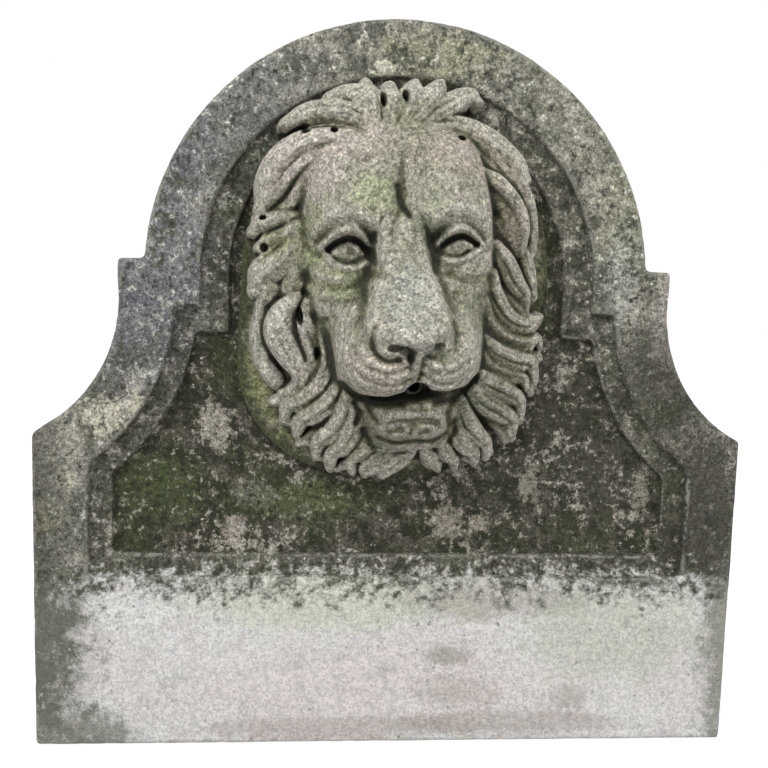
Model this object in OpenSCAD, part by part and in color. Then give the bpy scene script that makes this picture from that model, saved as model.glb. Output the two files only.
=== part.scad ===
// Lion head wall fountain: a shouldered, arched stone slab with a sunk panel and a carved lion mask.
// The mask is a stone of its own, dowelled and bedded in the panel, and a copper pipe feeds its mouth.
// Origin: centre of the slab's base, halfway through its thickness. +Z up, and the mask looks along -Y.

/* [Slab] */
// Width of the slab at its base
slab_w = 900; // [840:10:960]
// Height of the slab to the top of its arch
slab_h = 916; // [880:2:960]
// Thickness of the slab
slab_t = 120; // [110:1:160]
// Width of the slab across its shoulders
shoulder_w = 690; // [670:2:720]
// Height of the shoulder ledges
shoulder_z = 621; // [606:1:640]
// Radius of the arch over the mask
arch_r = 313; // [300:1:325]
// Radius of the hollow curve under each shoulder
cove_r = 190; // [180:1:200]
// Height of the hollow curve's centre
cove_z = 575; // [560:1:590]

/* [Sunk panel] */
// Width of the raised frame at the sides, the hollow curves and the arch
frame_w = 68; // [50:1:80]
// Drop of the frame's inner edge below the shoulder ledge
frame_drop = 55; // [45:1:65]
// Height of the plain apron below the frame
apron_h = 222; // [190:1:250]
// Depth of the first step, from the frame down to the band
frame_step = 14; // [8:1:20]
// Width of the band at the foot, the sides and the hollow curves
band_w = 27; // [20:1:34]
// Width of the band round the arch and under the ledges
band_arch_w = 34; // [28:1:40]
// Depth of the second step, from the band down to the panel
band_step = 14; // [8:1:18]

/* [Lion mask] */
// Width of the mane
head_w = 370; // [350:2:376]
// Height of the mane
head_h = 492; // [470:2:500]
// Projection of the nose from the mask's flat back
head_d = 207; // [190:1:240]
// Clear band between the top of the mane and the frame
crown_gap = 4; // [2:1:12]
// Sideways place of the mask's centre
head_x = -3; // [-6:1:3]
// Lean of the face to the viewer's right, in degrees
head_lean = 5.5; // [0:0.5:7]

/* [Dowels] */
// Diameter of the dowels that carry the mask
dowel_d = 12; // [10:1:16]
// Length of a dowel
dowel_l = 120; // [110:1:126]
// Depth that a dowel enters the mask
dowel_in_head = 60; // [55:1:66]
// Distance between the dowels
dowel_gap = 140; // [120:2:160]
// Height of the dowels above the mask's centre
dowel_rise = 45; // [30:1:60]
// Thickness of the resin round a dowel
dowel_resin_t = 2; // [1.5:0.5:3]

/* [Water pipe] */
// Outside diameter of the copper pipe
pipe_d = 15; // [12:1:18]
// Wall of the copper pipe
pipe_wall = 1; // [0.7:0.1:1.5]
// Projection of the spout's end from the mask's flat back, inside the mouth
spout_reach = 112; // [100:1:124]
// Height of the floor of the mouth above the mask's flat back
mouth_floor = 92; // [84:1:96]
// Room round the pipe where it goes through the stone
pipe_room = 4.5; // [3:0.5:6]
// Length of each ring of packing round the pipe
packing_l = 14; // [10:1:18]
// Width of the chase in the back of the slab
chase_w = 44; // [42:1:50]
// Depth of the chase
chase_d = 30; // [28:1:34]
// Depth of the pockets that hold the fittings
pocket_d = 56; // [54:1:60]
// Width of the pockets
pocket_w = 56; // [50:1:64]
// Height of the lower pocket, open at the base
pocket_h = 112; // [108:1:130]
// Height of the inlet thread's end above the base
inlet_z = 45; // [35:1:50]

/* [Fittings] */
// Diameter of the fittings' threaded legs
leg_d = 22; // [21:1:24]
// Length of a leg from the elbow's centre
leg_l = 22; // [20:1:26]
// Depth that the pipe enters a leg
socket_l = 15; // [12:1:17]
// Size of the compression nuts across their flats
nut_af = 26; // [25:1:28]
// Length of a compression nut
nut_l = 16; // [14:1:18]
// Diameter of the sealing olives
olive_d = 18.4; // [18:0.1:19]
// Length of an olive
olive_l = 6; // [5:0.5:7]
// Diameter of the inlet's male thread
inlet_d = 20.9; // [18:0.1:24]
// Length of the inlet's male thread
inlet_l = 15; // [12:1:20]
// Thickness of the inlet's hexagon
hex_l = 10; // [7:1:12]

/* [Pipe clips] */
// Number of clips on the supply pipe
clip_count = 2; // [1:1:3]
// Width of a clip
clip_w = 12; // [10:1:16]
// Thickness of a clip's strap
clip_t = 1.5; // [1:0.1:2]
// Distance from the pipe's axis to each screw
clip_screw_x = 14; // [13.5:0.5:15]
// Diameter of the clip screws
screw_d = 3.9; // [3.5:0.1:4.2]
// Length of a clip screw under its head
screw_l = 22; // [18:1:24]
// Diameter of a screw head
screw_head_d = 8; // [7:0.5:9]
// Height of a screw head
screw_head_h = 2.4; // [2:0.1:3]
// Outside diameter of the wall plugs
plug_d = 6; // [5.5:0.5:7]
// Length of a wall plug
plug_l = 25; // [24:1:28]

/* [Wall anchors] */
// Sideways distance between the threaded sockets
anchor_dx = 440; // [400:10:480]
// Upright distance between the threaded sockets
anchor_dz = 560; // [520:10:570]
// Height of the lower pair
anchor_z = 130; // [110:1:150]
// Diameter of the socket's thread
anchor_bore_d = 12; // [10:1:12]
// Outside diameter of a socket
anchor_d = 16; // [15:1:18]
// Length of a socket
anchor_l = 60; // [56:1:70]
// Depth of the thread
anchor_thread_l = 50; // [40:1:52]
// Thickness of the resin round a socket
anchor_resin_t = 2; // [1.5:0.5:3]

/* [Hidden] */

$fn = 72;
seat_gap = 0.1;   // clearance all round a piece that is pushed or bonded into another
over = 1;         // how far a cut runs past the face it opens
cove_land = 1.5;  // the hollow curve ends this far short of the shoulder's side
pocket_room = 8;  // room in the upper pocket below the nut
hex_socket = 8;   // part of the inlet's leg that its hexagon takes in
nut_end = 4;      // how far a nut reaches past the top of its olive
screw_play = 0.25; // clearance round a screw in the ear of its clip
ear_trim = 1;     // how much shorter a clip's ear is than the clip is wide, past its screw
plug_end = 1;     // closed end of a wall plug
ball_wall = 1;    // how far the elbow's ball stands out past its legs

// Levels through the slab, from its back to its front
back_y = slab_t / 2;
front_y = -slab_t / 2;
band_y = front_y + frame_step;
panel_y = band_y + band_step;
bed_y = band_y;           // the mortar fills the panel flush with the band
chase_y = back_y - chase_d;
pocket_y = back_y - pocket_d;

// Slab outline
half_w = slab_w / 2;
neck = shoulder_w / 2;
cove_x = neck + cove_r - cove_land;
arch_z = slab_h - arch_r;

// Where the mask and its mouth lie: the carving is drawn at one size and grown to the mask's
carving = [370, 492, 198];    // size of the drawing: across, up, out
grow = [head_w / carving[0], head_h / carving[1], head_d / carving[2]];
crown_top = 242 / carving[1]; // top of the mane above its centre, as a share of its height
head_z = slab_h - frame_w - crown_gap - crown_top * head_h;
mouth = [2, -120];            // middle of the mouth in the drawing
spout_x = head_x + mouth[0] * grow[0] * cos(head_lean) - mouth[1] * grow[1] * sin(head_lean);
spout_z = head_z + mouth[0] * grow[0] * sin(head_lean) + mouth[1] * grow[1] * cos(head_lean);

// The relief's net and roundness
net_across = 64;  // squares of the net over the width of the drawing
cols = 68;
rows = 88;
net_middle = [-6, -5];
under = 40;       // depth to which the drawing goes on behind the mask's flat back
rim_drop = 10;    // depth of the net's rim below that
mass_fall = 1.5;  // how steeply a mass falls past its edge
face_fall = 4;    // how steeply the face falls past its two edges
lock_runs = 3;    // straight runs between two stations of a lock
lock_rise = 0.95; // height of a lock's crest over its edge, as a share of its half width
lock_round = 0.6; // roundness of a lock's section
lock_fall = 5;    // how steeply a lock falls past its edge
lock_room = 34;   // a lock is left out farther from its stations than this
stroke_room = 2.4; // and a stroke farther from its points than so many half widths

// Pipework
pipe_r = pipe_d / 2;
bore_r = pipe_r + pipe_room;  // hole through the stone for the pipe
pipe_y = chase_y + pipe_r;    // the supply pipe lies on the floor of the chase
spout_end_y = bed_y - spout_reach;
leg_r = leg_d / 2;
elbow_pocket_l = leg_l + nut_l + pocket_room;
inlet_stop = inlet_l + hex_l; // the inlet's leg starts above its thread and hexagon
inlet_leg = leg_l - hex_socket;
chase_low = pocket_h;
chase_high = spout_z - elbow_pocket_l;

// Dowels and anchors
dowel_hole_r = dowel_d / 2 + dowel_resin_t;
dowel_y = bed_y - dowel_in_head;
anchor_hole_r = anchor_d / 2 + anchor_resin_t;

// Outline of the slab, or of one of its steps
module shouldered_arch(half, foot, grow_cove, ledge, arch) {
    difference() {
        union() {
            translate([-half, foot]) square([2 * half, min(cove_z, ledge) - foot]);
            if (ledge > cove_z) translate([-neck, cove_z - over]) square([2 * neck, ledge - cove_z + over]);
            translate([-arch, foot]) square([2 * arch, arch_z - foot]);
            translate([0, arch_z]) circle(arch);
        }
        for (side = [-1, 1]) translate([side * cove_x, cove_z]) circle(cove_r + grow_cove);
    }
}

module panel_outline() {
    shouldered_arch(half_w - frame_w - band_w, apron_h + band_w, frame_w + band_w,
        shoulder_z - frame_drop - band_arch_w, arch_r - frame_w - band_arch_w);
}

// A cylinder along +Y from y0 to y1
module across_stone(r, y0, y1) {
    translate([0, y1, 0]) rotate([90, 0, 0]) cylinder(r = r, h = y1 - y0);
}

module at_dowels() {
    for (side = [-1, 1]) translate([head_x + side * dowel_gap / 2, 0, head_z + dowel_rise]) children();
}

module at_anchors() {
    for (side = [-1, 1], row = [0, 1])
        translate([side * anchor_dx / 2, 0, anchor_z + row * anchor_dz]) children();
}

module at_clip_screws() {
    for (i = [0 : clip_count - 1], side = [-1, 1])
        translate([spout_x + side * clip_screw_x, 0, clip_z(i)]) children();
}

function clip_z(i) = chase_low + (chase_high - chase_low) * (i + 0.5) / clip_count;

module back_slab() {
    color("#8b8a7d") difference() {
        translate([0, back_y, 0]) rotate([90, 0, 0]) linear_extrude(slab_t)
            shouldered_arch(half_w, 0, 0, shoulder_z, arch_r);
        translate([0, band_y, 0]) rotate([90, 0, 0]) linear_extrude(frame_step + over)
            shouldered_arch(half_w - frame_w, apron_h, frame_w, shoulder_z - frame_drop, arch_r - frame_w);
        translate([0, panel_y, 0]) rotate([90, 0, 0]) linear_extrude(band_step + over) panel_outline();
        translate([spout_x, 0, spout_z]) across_stone(bore_r, panel_y - over, pocket_y + over);
        supply_chase();
        at_dowels() across_stone(dowel_hole_r, panel_y - over, dowel_y + dowel_l);
        at_anchors() across_stone(anchor_hole_r, back_y - anchor_l, back_y + over);
        at_clip_screws() across_stone(plug_d / 2, chase_y - plug_l, chase_y + over);
    }
}

// Chase for the supply pipe, with a pocket at each end for the fittings
module supply_chase() {
    depth = back_y + over - pocket_y;
    translate([spout_x - chase_w / 2, chase_y, -over])
        cube([chase_w, chase_d + over, spout_z + over]);
    translate([spout_x - pocket_w / 2, pocket_y, -over]) cube([pocket_w, depth, pocket_h + over]);
    translate([spout_x, 0, spout_z]) across_stone(pocket_w / 2, pocket_y, back_y + over);
    translate([spout_x - pocket_w / 2, pocket_y, spout_z - elbow_pocket_l])
        cube([pocket_w, depth, elbow_pocket_l]);
}

// Rounds of mortar: place across and up as shares of the mask's size, and radius as a share of its width
mortar_rounds = [[0, 0.03, 0.52], [-0.15, -0.21, 0.385], [0.05, -0.29, 0.29]];

// Bedding mortar, spread a little past the mane and kept inside the sunk panel
module mortar_bed() {
    color("#9a9f78") difference() {
        translate([0, panel_y, 0]) rotate([90, 0, 0]) linear_extrude(band_step) intersection() {
            panel_outline();
            translate([head_x, head_z]) hull() for (m = mortar_rounds)
                translate([m[0] * head_w, m[1] * head_h]) circle(m[2] * head_w);
        }
        translate([spout_x, 0, spout_z]) across_stone(bore_r, bed_y - over, panel_y + over);
        at_dowels() across_stone(dowel_hole_r, bed_y - over, panel_y + over);
    }
}

// The mask as one stone: face, mane, and the holes for the pipe and the dowels
module lion_head() {
    color("#a09880") difference() {
        translate([head_x, bed_y, head_z]) rotate([0, -head_lean, 0]) rotate([90, 0, 0]) difference() {
            carved();
            mouth_gap();
            translate([-head_w, -head_h, -head_d]) cube([2 * head_w, 2 * head_h, head_d]);
        }
        translate([spout_x, 0, spout_z]) across_stone(bore_r, bed_y - mouth_floor - over, bed_y + over);
        at_dowels() across_stone(dowel_hole_r, dowel_y, bed_y + over);
    }
}

// The mask is a relief, drawn flat: x across the face, y up the face, z out from the wall.
// Sections across the face, from the chin up: y, then x and height from the left edge to the right one
sections = [
    [-198, [[-72, 34], [-60, 42], [-48, 52], [-38, 66], [-28, 76], [-14, 82], [0, 84],
        [16, 82], [30, 76], [40, 66], [50, 52], [60, 42], [70, 34]]],
    [-178, [[-76, 40], [-62, 48], [-52, 62], [-42, 86], [-32, 100], [-16, 108], [2, 110],
        [18, 108], [32, 100], [42, 86], [52, 62], [62, 48], [74, 40]]],
    [-158, [[-80, 44], [-68, 50], [-56, 64], [-44, 90], [-34, 104], [-18, 113], [2, 116],
        [20, 113], [34, 104], [46, 90], [58, 64], [68, 50], [80, 44]]],
    [-142, [[-84, 46], [-72, 52], [-60, 66], [-48, 88], [-36, 104], [-18, 116], [2, 120],
        [22, 116], [38, 104], [48, 88], [60, 66], [72, 52], [84, 46]]],
    [-133, [[-86, 46], [-76, 54], [-66, 66], [-54, 84], [-42, 102], [-26, 108], [2, 104],
        [28, 108], [44, 102], [56, 84], [68, 66], [78, 54], [88, 46]]],
    [-122, [[-88, 46], [-80, 66], [-70, 94], [-57, 120], [-42, 136], [-25, 142], [4, 128],
        [28, 142], [46, 136], [60, 118], [72, 90], [82, 64], [90, 46]]],
    [-108, [[-90, 48], [-85, 78], [-76, 112], [-61, 138], [-44, 152], [-24, 156], [4, 146],
        [28, 156], [46, 152], [63, 136], [76, 110], [86, 76], [93, 48]]],
    [-90, [[-92, 50], [-87, 84], [-78, 120], [-64, 146], [-46, 162], [-24, 166], [3, 160],
        [27, 166], [46, 162], [64, 145], [78, 120], [88, 84], [95, 50]]],
    [-74, [[-94, 50], [-89, 82], [-80, 118], [-67, 143], [-52, 158], [-30, 166], [1, 170],
        [28, 166], [49, 158], [66, 143], [79, 118], [90, 84], [97, 52]]],
    [-64, [[-97, 50], [-91, 78], [-82, 112], [-69, 136], [-56, 150], [-40, 164], [-3, 190],
        [36, 164], [51, 150], [66, 137], [80, 112], [91, 82], [98, 54]]],
    [-52, [[-102, 52], [-94, 76], [-84, 104], [-70, 128], [-56, 144], [-42, 170], [-3, 184],
        [36, 170], [51, 144], [66, 130], [80, 106], [92, 80], [100, 54]]],
    [-35, [[-110, 52], [-101, 74], [-88, 98], [-72, 118], [-54, 134], [-39, 162], [-3, 168],
        [33, 162], [49, 134], [66, 119], [82, 99], [96, 78], [104, 54]]],
    [-15, [[-116, 52], [-108, 78], [-92, 100], [-72, 114], [-50, 124], [-35, 152], [-3, 158],
        [30, 152], [45, 124], [65, 116], [86, 101], [100, 80], [109, 56]]],
    [5, [[-118, 54], [-110, 82], [-94, 104], [-70, 117], [-46, 118], [-31, 143], [-3, 150],
        [26, 143], [40, 118], [64, 117], [88, 104], [104, 84], [112, 58]]],
    [22, [[-118, 54], [-110, 82], [-94, 102], [-68, 114], [-42, 108], [-28, 136], [-3, 145],
        [22, 136], [37, 108], [63, 114], [88, 104], [105, 86], [113, 58]]],
    [40, [[-118, 56], [-110, 80], [-94, 96], [-66, 104], [-40, 96], [-24, 128], [-3, 138],
        [19, 128], [36, 96], [62, 104], [88, 98], [106, 86], [114, 60]]],
    [57, [[-118, 56], [-109, 84], [-93, 104], [-66, 118], [-40, 112], [-20, 124], [-3, 130],
        [15, 124], [34, 112], [62, 118], [88, 108], [106, 90], [114, 60]]],
    [72, [[-117, 58], [-108, 88], [-91, 113], [-64, 130], [-38, 128], [-18, 124], [-2, 122],
        [14, 124], [34, 128], [60, 130], [87, 115], [106, 94], [114, 62]]],
    [90, [[-116, 58], [-106, 90], [-88, 116], [-62, 132], [-36, 130], [-16, 122], [2, 112],
        [14, 122], [32, 130], [58, 132], [85, 118], [104, 95], [113, 62]]],
    [115, [[-112, 58], [-102, 89], [-85, 112], [-60, 127], [-34, 125], [-14, 116], [2, 111],
        [14, 117], [34, 126], [57, 128], [83, 114], [101, 92], [110, 60]]],
    [140, [[-105, 58], [-95, 86], [-80, 106], [-58, 118], [-34, 117], [-14, 111], [0, 108],
        [13, 111], [32, 117], [56, 119], [80, 108], [96, 88], [105, 60]]],
    [160, [[-92, 58], [-82, 82], [-68, 96], [-50, 105], [-30, 106], [-14, 103], [0, 102],
        [13, 103], [28, 106], [50, 107], [68, 99], [83, 85], [94, 60]]],
    [175, [[-70, 60], [-62, 76], [-50, 86], [-38, 91], [-25, 93], [-12, 94], [0, 95],
        [12, 94], [25, 93], [38, 91], [50, 87], [62, 78], [72, 60]]],
    [190, [[-58, 40], [-50, 52], [-42, 62], [-32, 70], [-22, 74], [-11, 76], [0, 77],
        [11, 76], [22, 74], [32, 70], [43, 62], [52, 52], [60, 40]]]
];

// Rounded masses: x, y, foot, half width, reach up, reach down, rise, turn in degrees, roundness
masses = [
    // the mane's own body
    [0, 20, 0, 138, 190, 200, 56, 0, 0.5],
    [0, -120, 0, 108, 60, 110, 52, 0, 0.5],
    // eyes
    [-63, 40, 92, 27, 19, 19, 22, 3, 0.6],
    [64, 37, 92, 27, 18, 18, 22, -4, 0.6]
];

// Ridges and grooves drawn with a round tool: points, half width, height or depth
strokes = [
    // furrow of the forehead and the plate between the brows
    [[[-2, 109], [0, 91], [9, 74]], 3, -6],
    [[[-15, 47], [-10, 68], [0, 82]], 4, -3],
    [[[15, 45], [13, 66], [5, 78]], 4, -3],
    [[[-32, 140], [-26, 113], [-33, 84]], 7, -3],
    [[[7, 146], [4, 117], [4, 97]], 7, -3],
    // upper lids, the shade under them and the crease over them
    [[[-93, 46], [-78, 57], [-63, 62], [-48, 57], [-38, 44]], 3.6, 9],
    [[[41, 41], [54, 52], [69, 55], [83, 47], [93, 36]], 3.6, 9],
    [[[-83, 45], [-74, 51], [-62, 55], [-50, 51], [-42, 42]], 3, -13],
    [[[47, 40], [57, 46], [70, 49], [80, 43], [86, 37]], 3, -13],
    [[[-97, 53], [-82, 64], [-64, 71], [-46, 67], [-34, 53]], 5, -4],
    [[[38, 50], [51, 61], [69, 64], [86, 55], [96, 43]], 5, -4],
    // lower lids and the inner corners
    [[[-89, 42], [-80, 30], [-67, 22], [-52, 19], [-38, 18]], 3.2, 6],
    [[[42, 22], [56, 20], [70, 24], [82, 30], [92, 33]], 3.2, 6],
    [[[-37, 34], [-32, 25], [-31, 12]], 6, -9],
    [[[42, 29], [37, 21], [33, 12]], 6, -8],
    // folds under the eyes
    [[[-113, 15], [-99, 3], [-78, -2], [-56, 2], [-41, 12]], 7, -7],
    [[[-109, -9], [-95, -19], [-73, -19], [-51, -7]], 8, -4],
    [[[-112, -31], [-99, -37], [-83, -33]], 6, -4],
    [[[102, -1], [84, -5], [66, -2], [51, 7]], 7, -6],
    [[[93, -24], [78, -23], [59, -15]], 8, -3],
    // the wing of the nose, its curl and the nostrils
    [[[-38, -45], [-40, -59], [-38, -71], [-30, -77], [-22, -75]], 4, 9],
    [[[41, -48], [42, -62], [38, -73]], 5, 6],
    [[[-42, -39], [-45, -56], [-44, -74], [-33, -85], [-15, -85]], 4, -6],
    [[[49, -45], [51, -63], [47, -78], [33, -83], [17, -82]], 5, -4],
    // folds of the muzzle
    [[[-64, -66], [-59, -83], [-43, -94], [-25, -97], [-10, -92]], 2.8, -5],
    [[[-71, -74], [-64, -95], [-47, -107], [-25, -112], [-8, -107]], 2.8, -6],
    [[[-74, -55], [-70, -68], [-64, -80]], 4, -3],
    [[[11, -90], [24, -100], [45, -100], [63, -91]], 2.8, -4],
    [[[9, -101], [24, -113], [47, -115], [68, -105]], 2.8, -5],
    // under the muzzle
    [[[-78, -113], [-65, -128], [-45, -138], [-14, -138]], 5, -16],
    [[[27, -140], [49, -142], [69, -133], [80, -120]], 5, -15],
    // lower lip and the scrolls of the chin
    [[[-66, -141], [-62, -154], [-66, -166]], 4, -9],
    [[[-51, -144], [-47, -154], [-40, -164]], 3, -7],
    [[[-37, -169], [-31, -155], [-9, -152], [16, -155], [30, -164], [30, -176]], 3, 6],
    [[[-28, -166], [-16, -162], [-9, -169], [-14, -178], [-23, -177]], 3, 6],
    [[[-1, -181], [2, -171], [15, -168], [24, -174], [20, -183], [11, -184]], 3, 6],
    [[[-35, -186], [-10, -191], [21, -192]], 4, -7],
    [[[47, -150], [40, -165], [42, -178]], 4, -9]
];

// Locks of the mane: [x, y, height, half width] from root to tip, then how far the crest leans to one side
locks = [
    // crown, from the parting outwards
    [[-17, 160, 92, 8], [-33, 185, 92, 11], [-56, 199, 82, 12], [-93, 200, 70, 12], [-120, 191, 58, 8], 0.3],
    [[-20, 163, 90, 7], [-39, 178, 88, 9], [-63, 188, 78, 9], [-90, 188, 66, 7], 0.3],
    [[-16, 166, 92, 7], [-27, 190, 92, 12], [-37, 213, 84, 13], [-51, 220, 70, 10], [-69, 220, 58, 5], 0.3],
    [[-10, 165, 92, 7], [-17, 192, 92, 12], [-25, 215, 86, 13], [-28, 227, 74, 9], 0.2],
    [[-4, 165, 92, 6], [-1, 191, 94, 11], [0, 211, 88, 12], [1, 223, 76, 9], 0],
    [[4, 165, 92, 6], [16, 190, 94, 12], [25, 210, 88, 13], [32, 222, 76, 9], -0.2],
    [[11, 164, 92, 7], [31, 188, 92, 12], [49, 208, 84, 13], [61, 221, 72, 9], -0.2],
    [[17, 164, 92, 8], [47, 183, 88, 12], [74, 198, 78, 14], [95, 208, 66, 11], [106, 203, 56, 6], -0.3],
    [[24, 163, 92, 8], [52, 173, 88, 11], [84, 169, 80, 14], [117, 151, 70, 16], [147, 129, 58, 12], [161, 110, 48, 6], -0.3],
    [[27, 160, 88, 6], [59, 167, 84, 7], [81, 158, 78, 8], [106, 139, 72, 12], [128, 117, 66, 12], [143, 101, 56, 6], -0.3],
    // forelock over the left temple
    [[-23, 156, 98, 8], [-53, 163, 100, 16], [-87, 159, 96, 22], [-118, 143, 86, 26], [-141, 118, 72, 22], [-157, 96, 56, 9], 0.2],
    [[-66, 150, 98, 5], [-87, 142, 92, 9], [-102, 121, 84, 11], [-122, 99, 70, 9], [-148, 87, 56, 5], 0.2],
    // left ear and temple
    [[-115, 86, 78, 7], [-136, 81, 74, 9], [-158, 77, 62, 9], [-170, 75, 48, 5], 0.2],
    [[-114, 70, 80, 8], [-134, 65, 76, 12], [-150, 64, 64, 10], [-164, 56, 50, 5], 0.2],
    [[-115, 61, 80, 9], [-133, 44, 80, 16], [-153, 27, 70, 17], [-167, 12, 56, 12], [-177, -4, 44, 7], 0.2],
    [[-114, 39, 80, 8], [-127, 19, 80, 13], [-135, 0, 70, 13], [-132, -16, 58, 8], 0.2],
    // left cheek
    [[-167, -26, 42, 11], [-173, -56, 36, 14], [-171, -89, 30, 13], [-158, -116, 24, 11], [-155, -124, 16, 6], 0],
    [[-136, -12, 72, 8], [-154, -30, 72, 16], [-155, -55, 68, 21], [-142, -86, 60, 17], [-136, -107, 50, 11], [-154, -123, 38, 6], -0.3],
    [[-120, -16, 72, 7], [-127, -35, 70, 11], [-125, -61, 66, 14], [-115, -84, 60, 10], [-105, -83, 52, 4], -0.3],
    [[-101, -27, 72, 8], [-100, -56, 72, 15], [-92, -85, 70, 19], [-107, -114, 62, 17], [-135, -133, 50, 12], [-154, -145, 38, 6], -0.3],
    // left of the jaw
    [[-78, -102, 74, 9], [-89, -128, 66, 16], [-116, -150, 54, 14], [-146, -173, 34, 6], -0.3],
    [[-73, -124, 76, 9], [-82, -154, 66, 15], [-99, -178, 52, 13], [-124, -202, 32, 6], -0.3],
    [[-65, -145, 72, 9], [-73, -176, 60, 14], [-91, -200, 46, 12], [-109, -223, 28, 6], -0.3],
    [[-44, -171, 62, 8], [-55, -195, 52, 12], [-68, -213, 40, 10], [-76, -233, 26, 6], -0.3],
    [[-25, -198, 52, 8], [-39, -212, 42, 11], [-52, -223, 32, 10], [-59, -238, 22, 6], -0.3],
    // right ear
    [[97, 124, 80, 8], [122, 110, 80, 10], [144, 84, 74, 10], [154, 56, 66, 9], [152, 25, 52, 5], 0.4],
    [[115, 93, 70, 8], [133, 76, 64, 15], [139, 51, 60, 17], [143, 25, 50, 8], 0],
    [[142, 120, 60, 9], [161, 94, 54, 10], [169, 58, 46, 9], [170, 22, 34, 5], 0.4],
    // right cheek
    [[116, 36, 74, 8], [128, 17, 72, 13], [138, -10, 64, 15], [156, -41, 44, 6], 0.3],
    [[109, 2, 76, 9], [116, -30, 72, 15], [136, -61, 60, 15], [172, -82, 38, 6], 0.3],
    [[97, -29, 78, 8], [102, -58, 72, 13], [126, -80, 60, 12], [163, -88, 40, 5], 0.3],
    [[93, -73, 78, 8], [109, -94, 72, 13], [137, -114, 58, 14], [165, -137, 36, 6], 0.3],
    [[90, -92, 78, 8], [99, -109, 70, 11], [124, -126, 58, 11], [153, -137, 42, 5], 0.3],
    // right of the jaw
    [[84, -114, 78, 9], [101, -132, 70, 15], [126, -153, 54, 14], [143, -181, 34, 6], 0.3],
    [[76, -130, 76, 9], [94, -152, 66, 15], [119, -176, 50, 13], [133, -205, 30, 6], 0.3],
    [[61, -142, 74, 8], [71, -174, 62, 14], [85, -201, 48, 13], [101, -227, 28, 6], 0.3],
    [[51, -154, 72, 8], [57, -186, 60, 12], [68, -213, 46, 11], [87, -232, 28, 5], 0.3],
    [[38, -178, 60, 8], [41, -204, 50, 11], [48, -224, 38, 10], [59, -241, 24, 5], 0.3],
    // under the chin
    [[1, -207, 50, 8], [-12, -221, 40, 12], [-26, -233, 30, 11], [-36, -244, 20, 6], 0],
    [[17, -208, 50, 8], [27, -226, 38, 12], [33, -236, 28, 9], [36, -243, 20, 4], 0]
];

function sum(v) = len(v) == 0 ? 0 : v * [for (i = v) 1];

// A smooth line through a few places that never swings past them: places, values, slopes at the places
function slopes(x, y) = let (n = len(x) - 1, run = [for (i = [1 : n]) (y[i] - y[i - 1]) / (x[i] - x[i - 1])])
    [for (i = [0 : n]) i == 0 ? run[0] : i == n ? run[n - 1]
        : run[i - 1] * run[i] > 0 ? 2 * run[i - 1] * run[i] / (run[i - 1] + run[i]) : 0];
function smooth_at(x, y, m, at) =
    let (i = min(max(len([for (q = x) if (q <= at) q]) - 1, 0), len(x) - 2), w = x[i + 1] - x[i], t = (at - x[i]) / w)
    y[i] * (1 + 2 * t) * pow(1 - t, 2) + y[i + 1] * t * t * (3 - 2 * t)
        + w * t * (1 - t) * (m[i] * (1 - t) - m[i + 1] * t);

// The face between its sections: its line of x and height at one y, then the height at an x of that line
levels = [for (s = sections) s[0]];
stations = [for (k = [0 : len(sections[0][1]) - 1]) [for (n = [0, 1]) [for (s = sections) s[1][k][n]]]];
station_slopes = [for (s = stations) [for (n = [0, 1]) slopes(levels, s[n])]];
function face_line(y) = y < levels[0] || y > levels[len(levels) - 1] ? []
    : let (p = [for (k = [0 : len(stations) - 1]) [for (n = [0, 1])
            smooth_at(levels, stations[k][n], station_slopes[k][n], y)]],
        x = [for (q = p) q[0]], z = [for (q = p) q[1]])
    [x, z, slopes(x, z)];
function face_top(line, x) = len(line) == 0 ? -under
    : let (first = line[0][0], last = line[0][len(line[0]) - 1], past = max(first - x, x - last, 0))
    smooth_at(line[0], line[1], line[2], min(max(x, first), last)) - face_fall * past;

function mass_top(m, x, y) =
    let (dx = x - m[0], dy = y - m[1], c = cos(m[7]), s = sin(m[7]), across = dx * c + dy * s, up = dy * c - dx * s,
        q = 1 - pow(across / m[3], 2) - pow(up / (up > 0 ? m[4] : m[5]), 2))
    m[2] + m[6] * (q > 0 ? pow(q, m[8]) : mass_fall * q);

// Where the foot of the square from (x, y) to the line from a to b lies, from 0 at a to 1 at b
function along(a, b, x, y) =
    let (bx = b[0] - a[0], by = b[1] - a[1])
    min(max(((x - a[0]) * bx + (y - a[1]) * by) / (bx * bx + by * by), 0), 1);

function to_line(a, b, x, y) =
    let (t = along(a, b, x, y)) norm([x - a[0] - t * (b[0] - a[0]), y - a[1] - t * (b[1] - a[1])]);

function stroke_top(s, x, y) =
    let (off = min([for (i = [1 : len(s[0]) - 1]) to_line(s[0][i - 1], s[0][i], x, y)]))
    s[2] * exp(-pow(off / s[1], 2));

// A smooth curve through a lock's stations, in short runs
function between(a, b, c, d, t) =
    0.5 * (2 * b + (c - a) * t + (2 * a - 5 * b + 4 * c - d) * t * t + (3 * b - a - 3 * c + d) * t * t * t);
function rope(l) =
    let (n = len(l) - 1, q = concat([2 * l[0] - l[1]], l, [2 * l[n] - l[n - 1]]))
    [for (i = [0 : n - 1], k = [0 : lock_runs - 1]) between(q[i], q[i + 1], q[i + 2], q[i + 3], k / lock_runs), l[n]];

function lock_top(r, lean, x, y) = max([for (i = [1 : len(r) - 1])
    let (a = r[i - 1], b = r[i], t = along(a, b, x, y),
        side = (x - a[0]) * (b[1] - a[1]) > (y - a[1]) * (b[0] - a[0]) ? 1 : -1,
        w = (a[3] + t * (b[3] - a[3])) * (1 + lean * side), q = 1 - pow(to_line(a, b, x, y) / w, 2))
    a[2] + t * (b[2] - a[2]) - lock_rise * w * (q > 0 ? 1 - pow(q, lock_round) : 1 - lock_fall * q)]);

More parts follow.
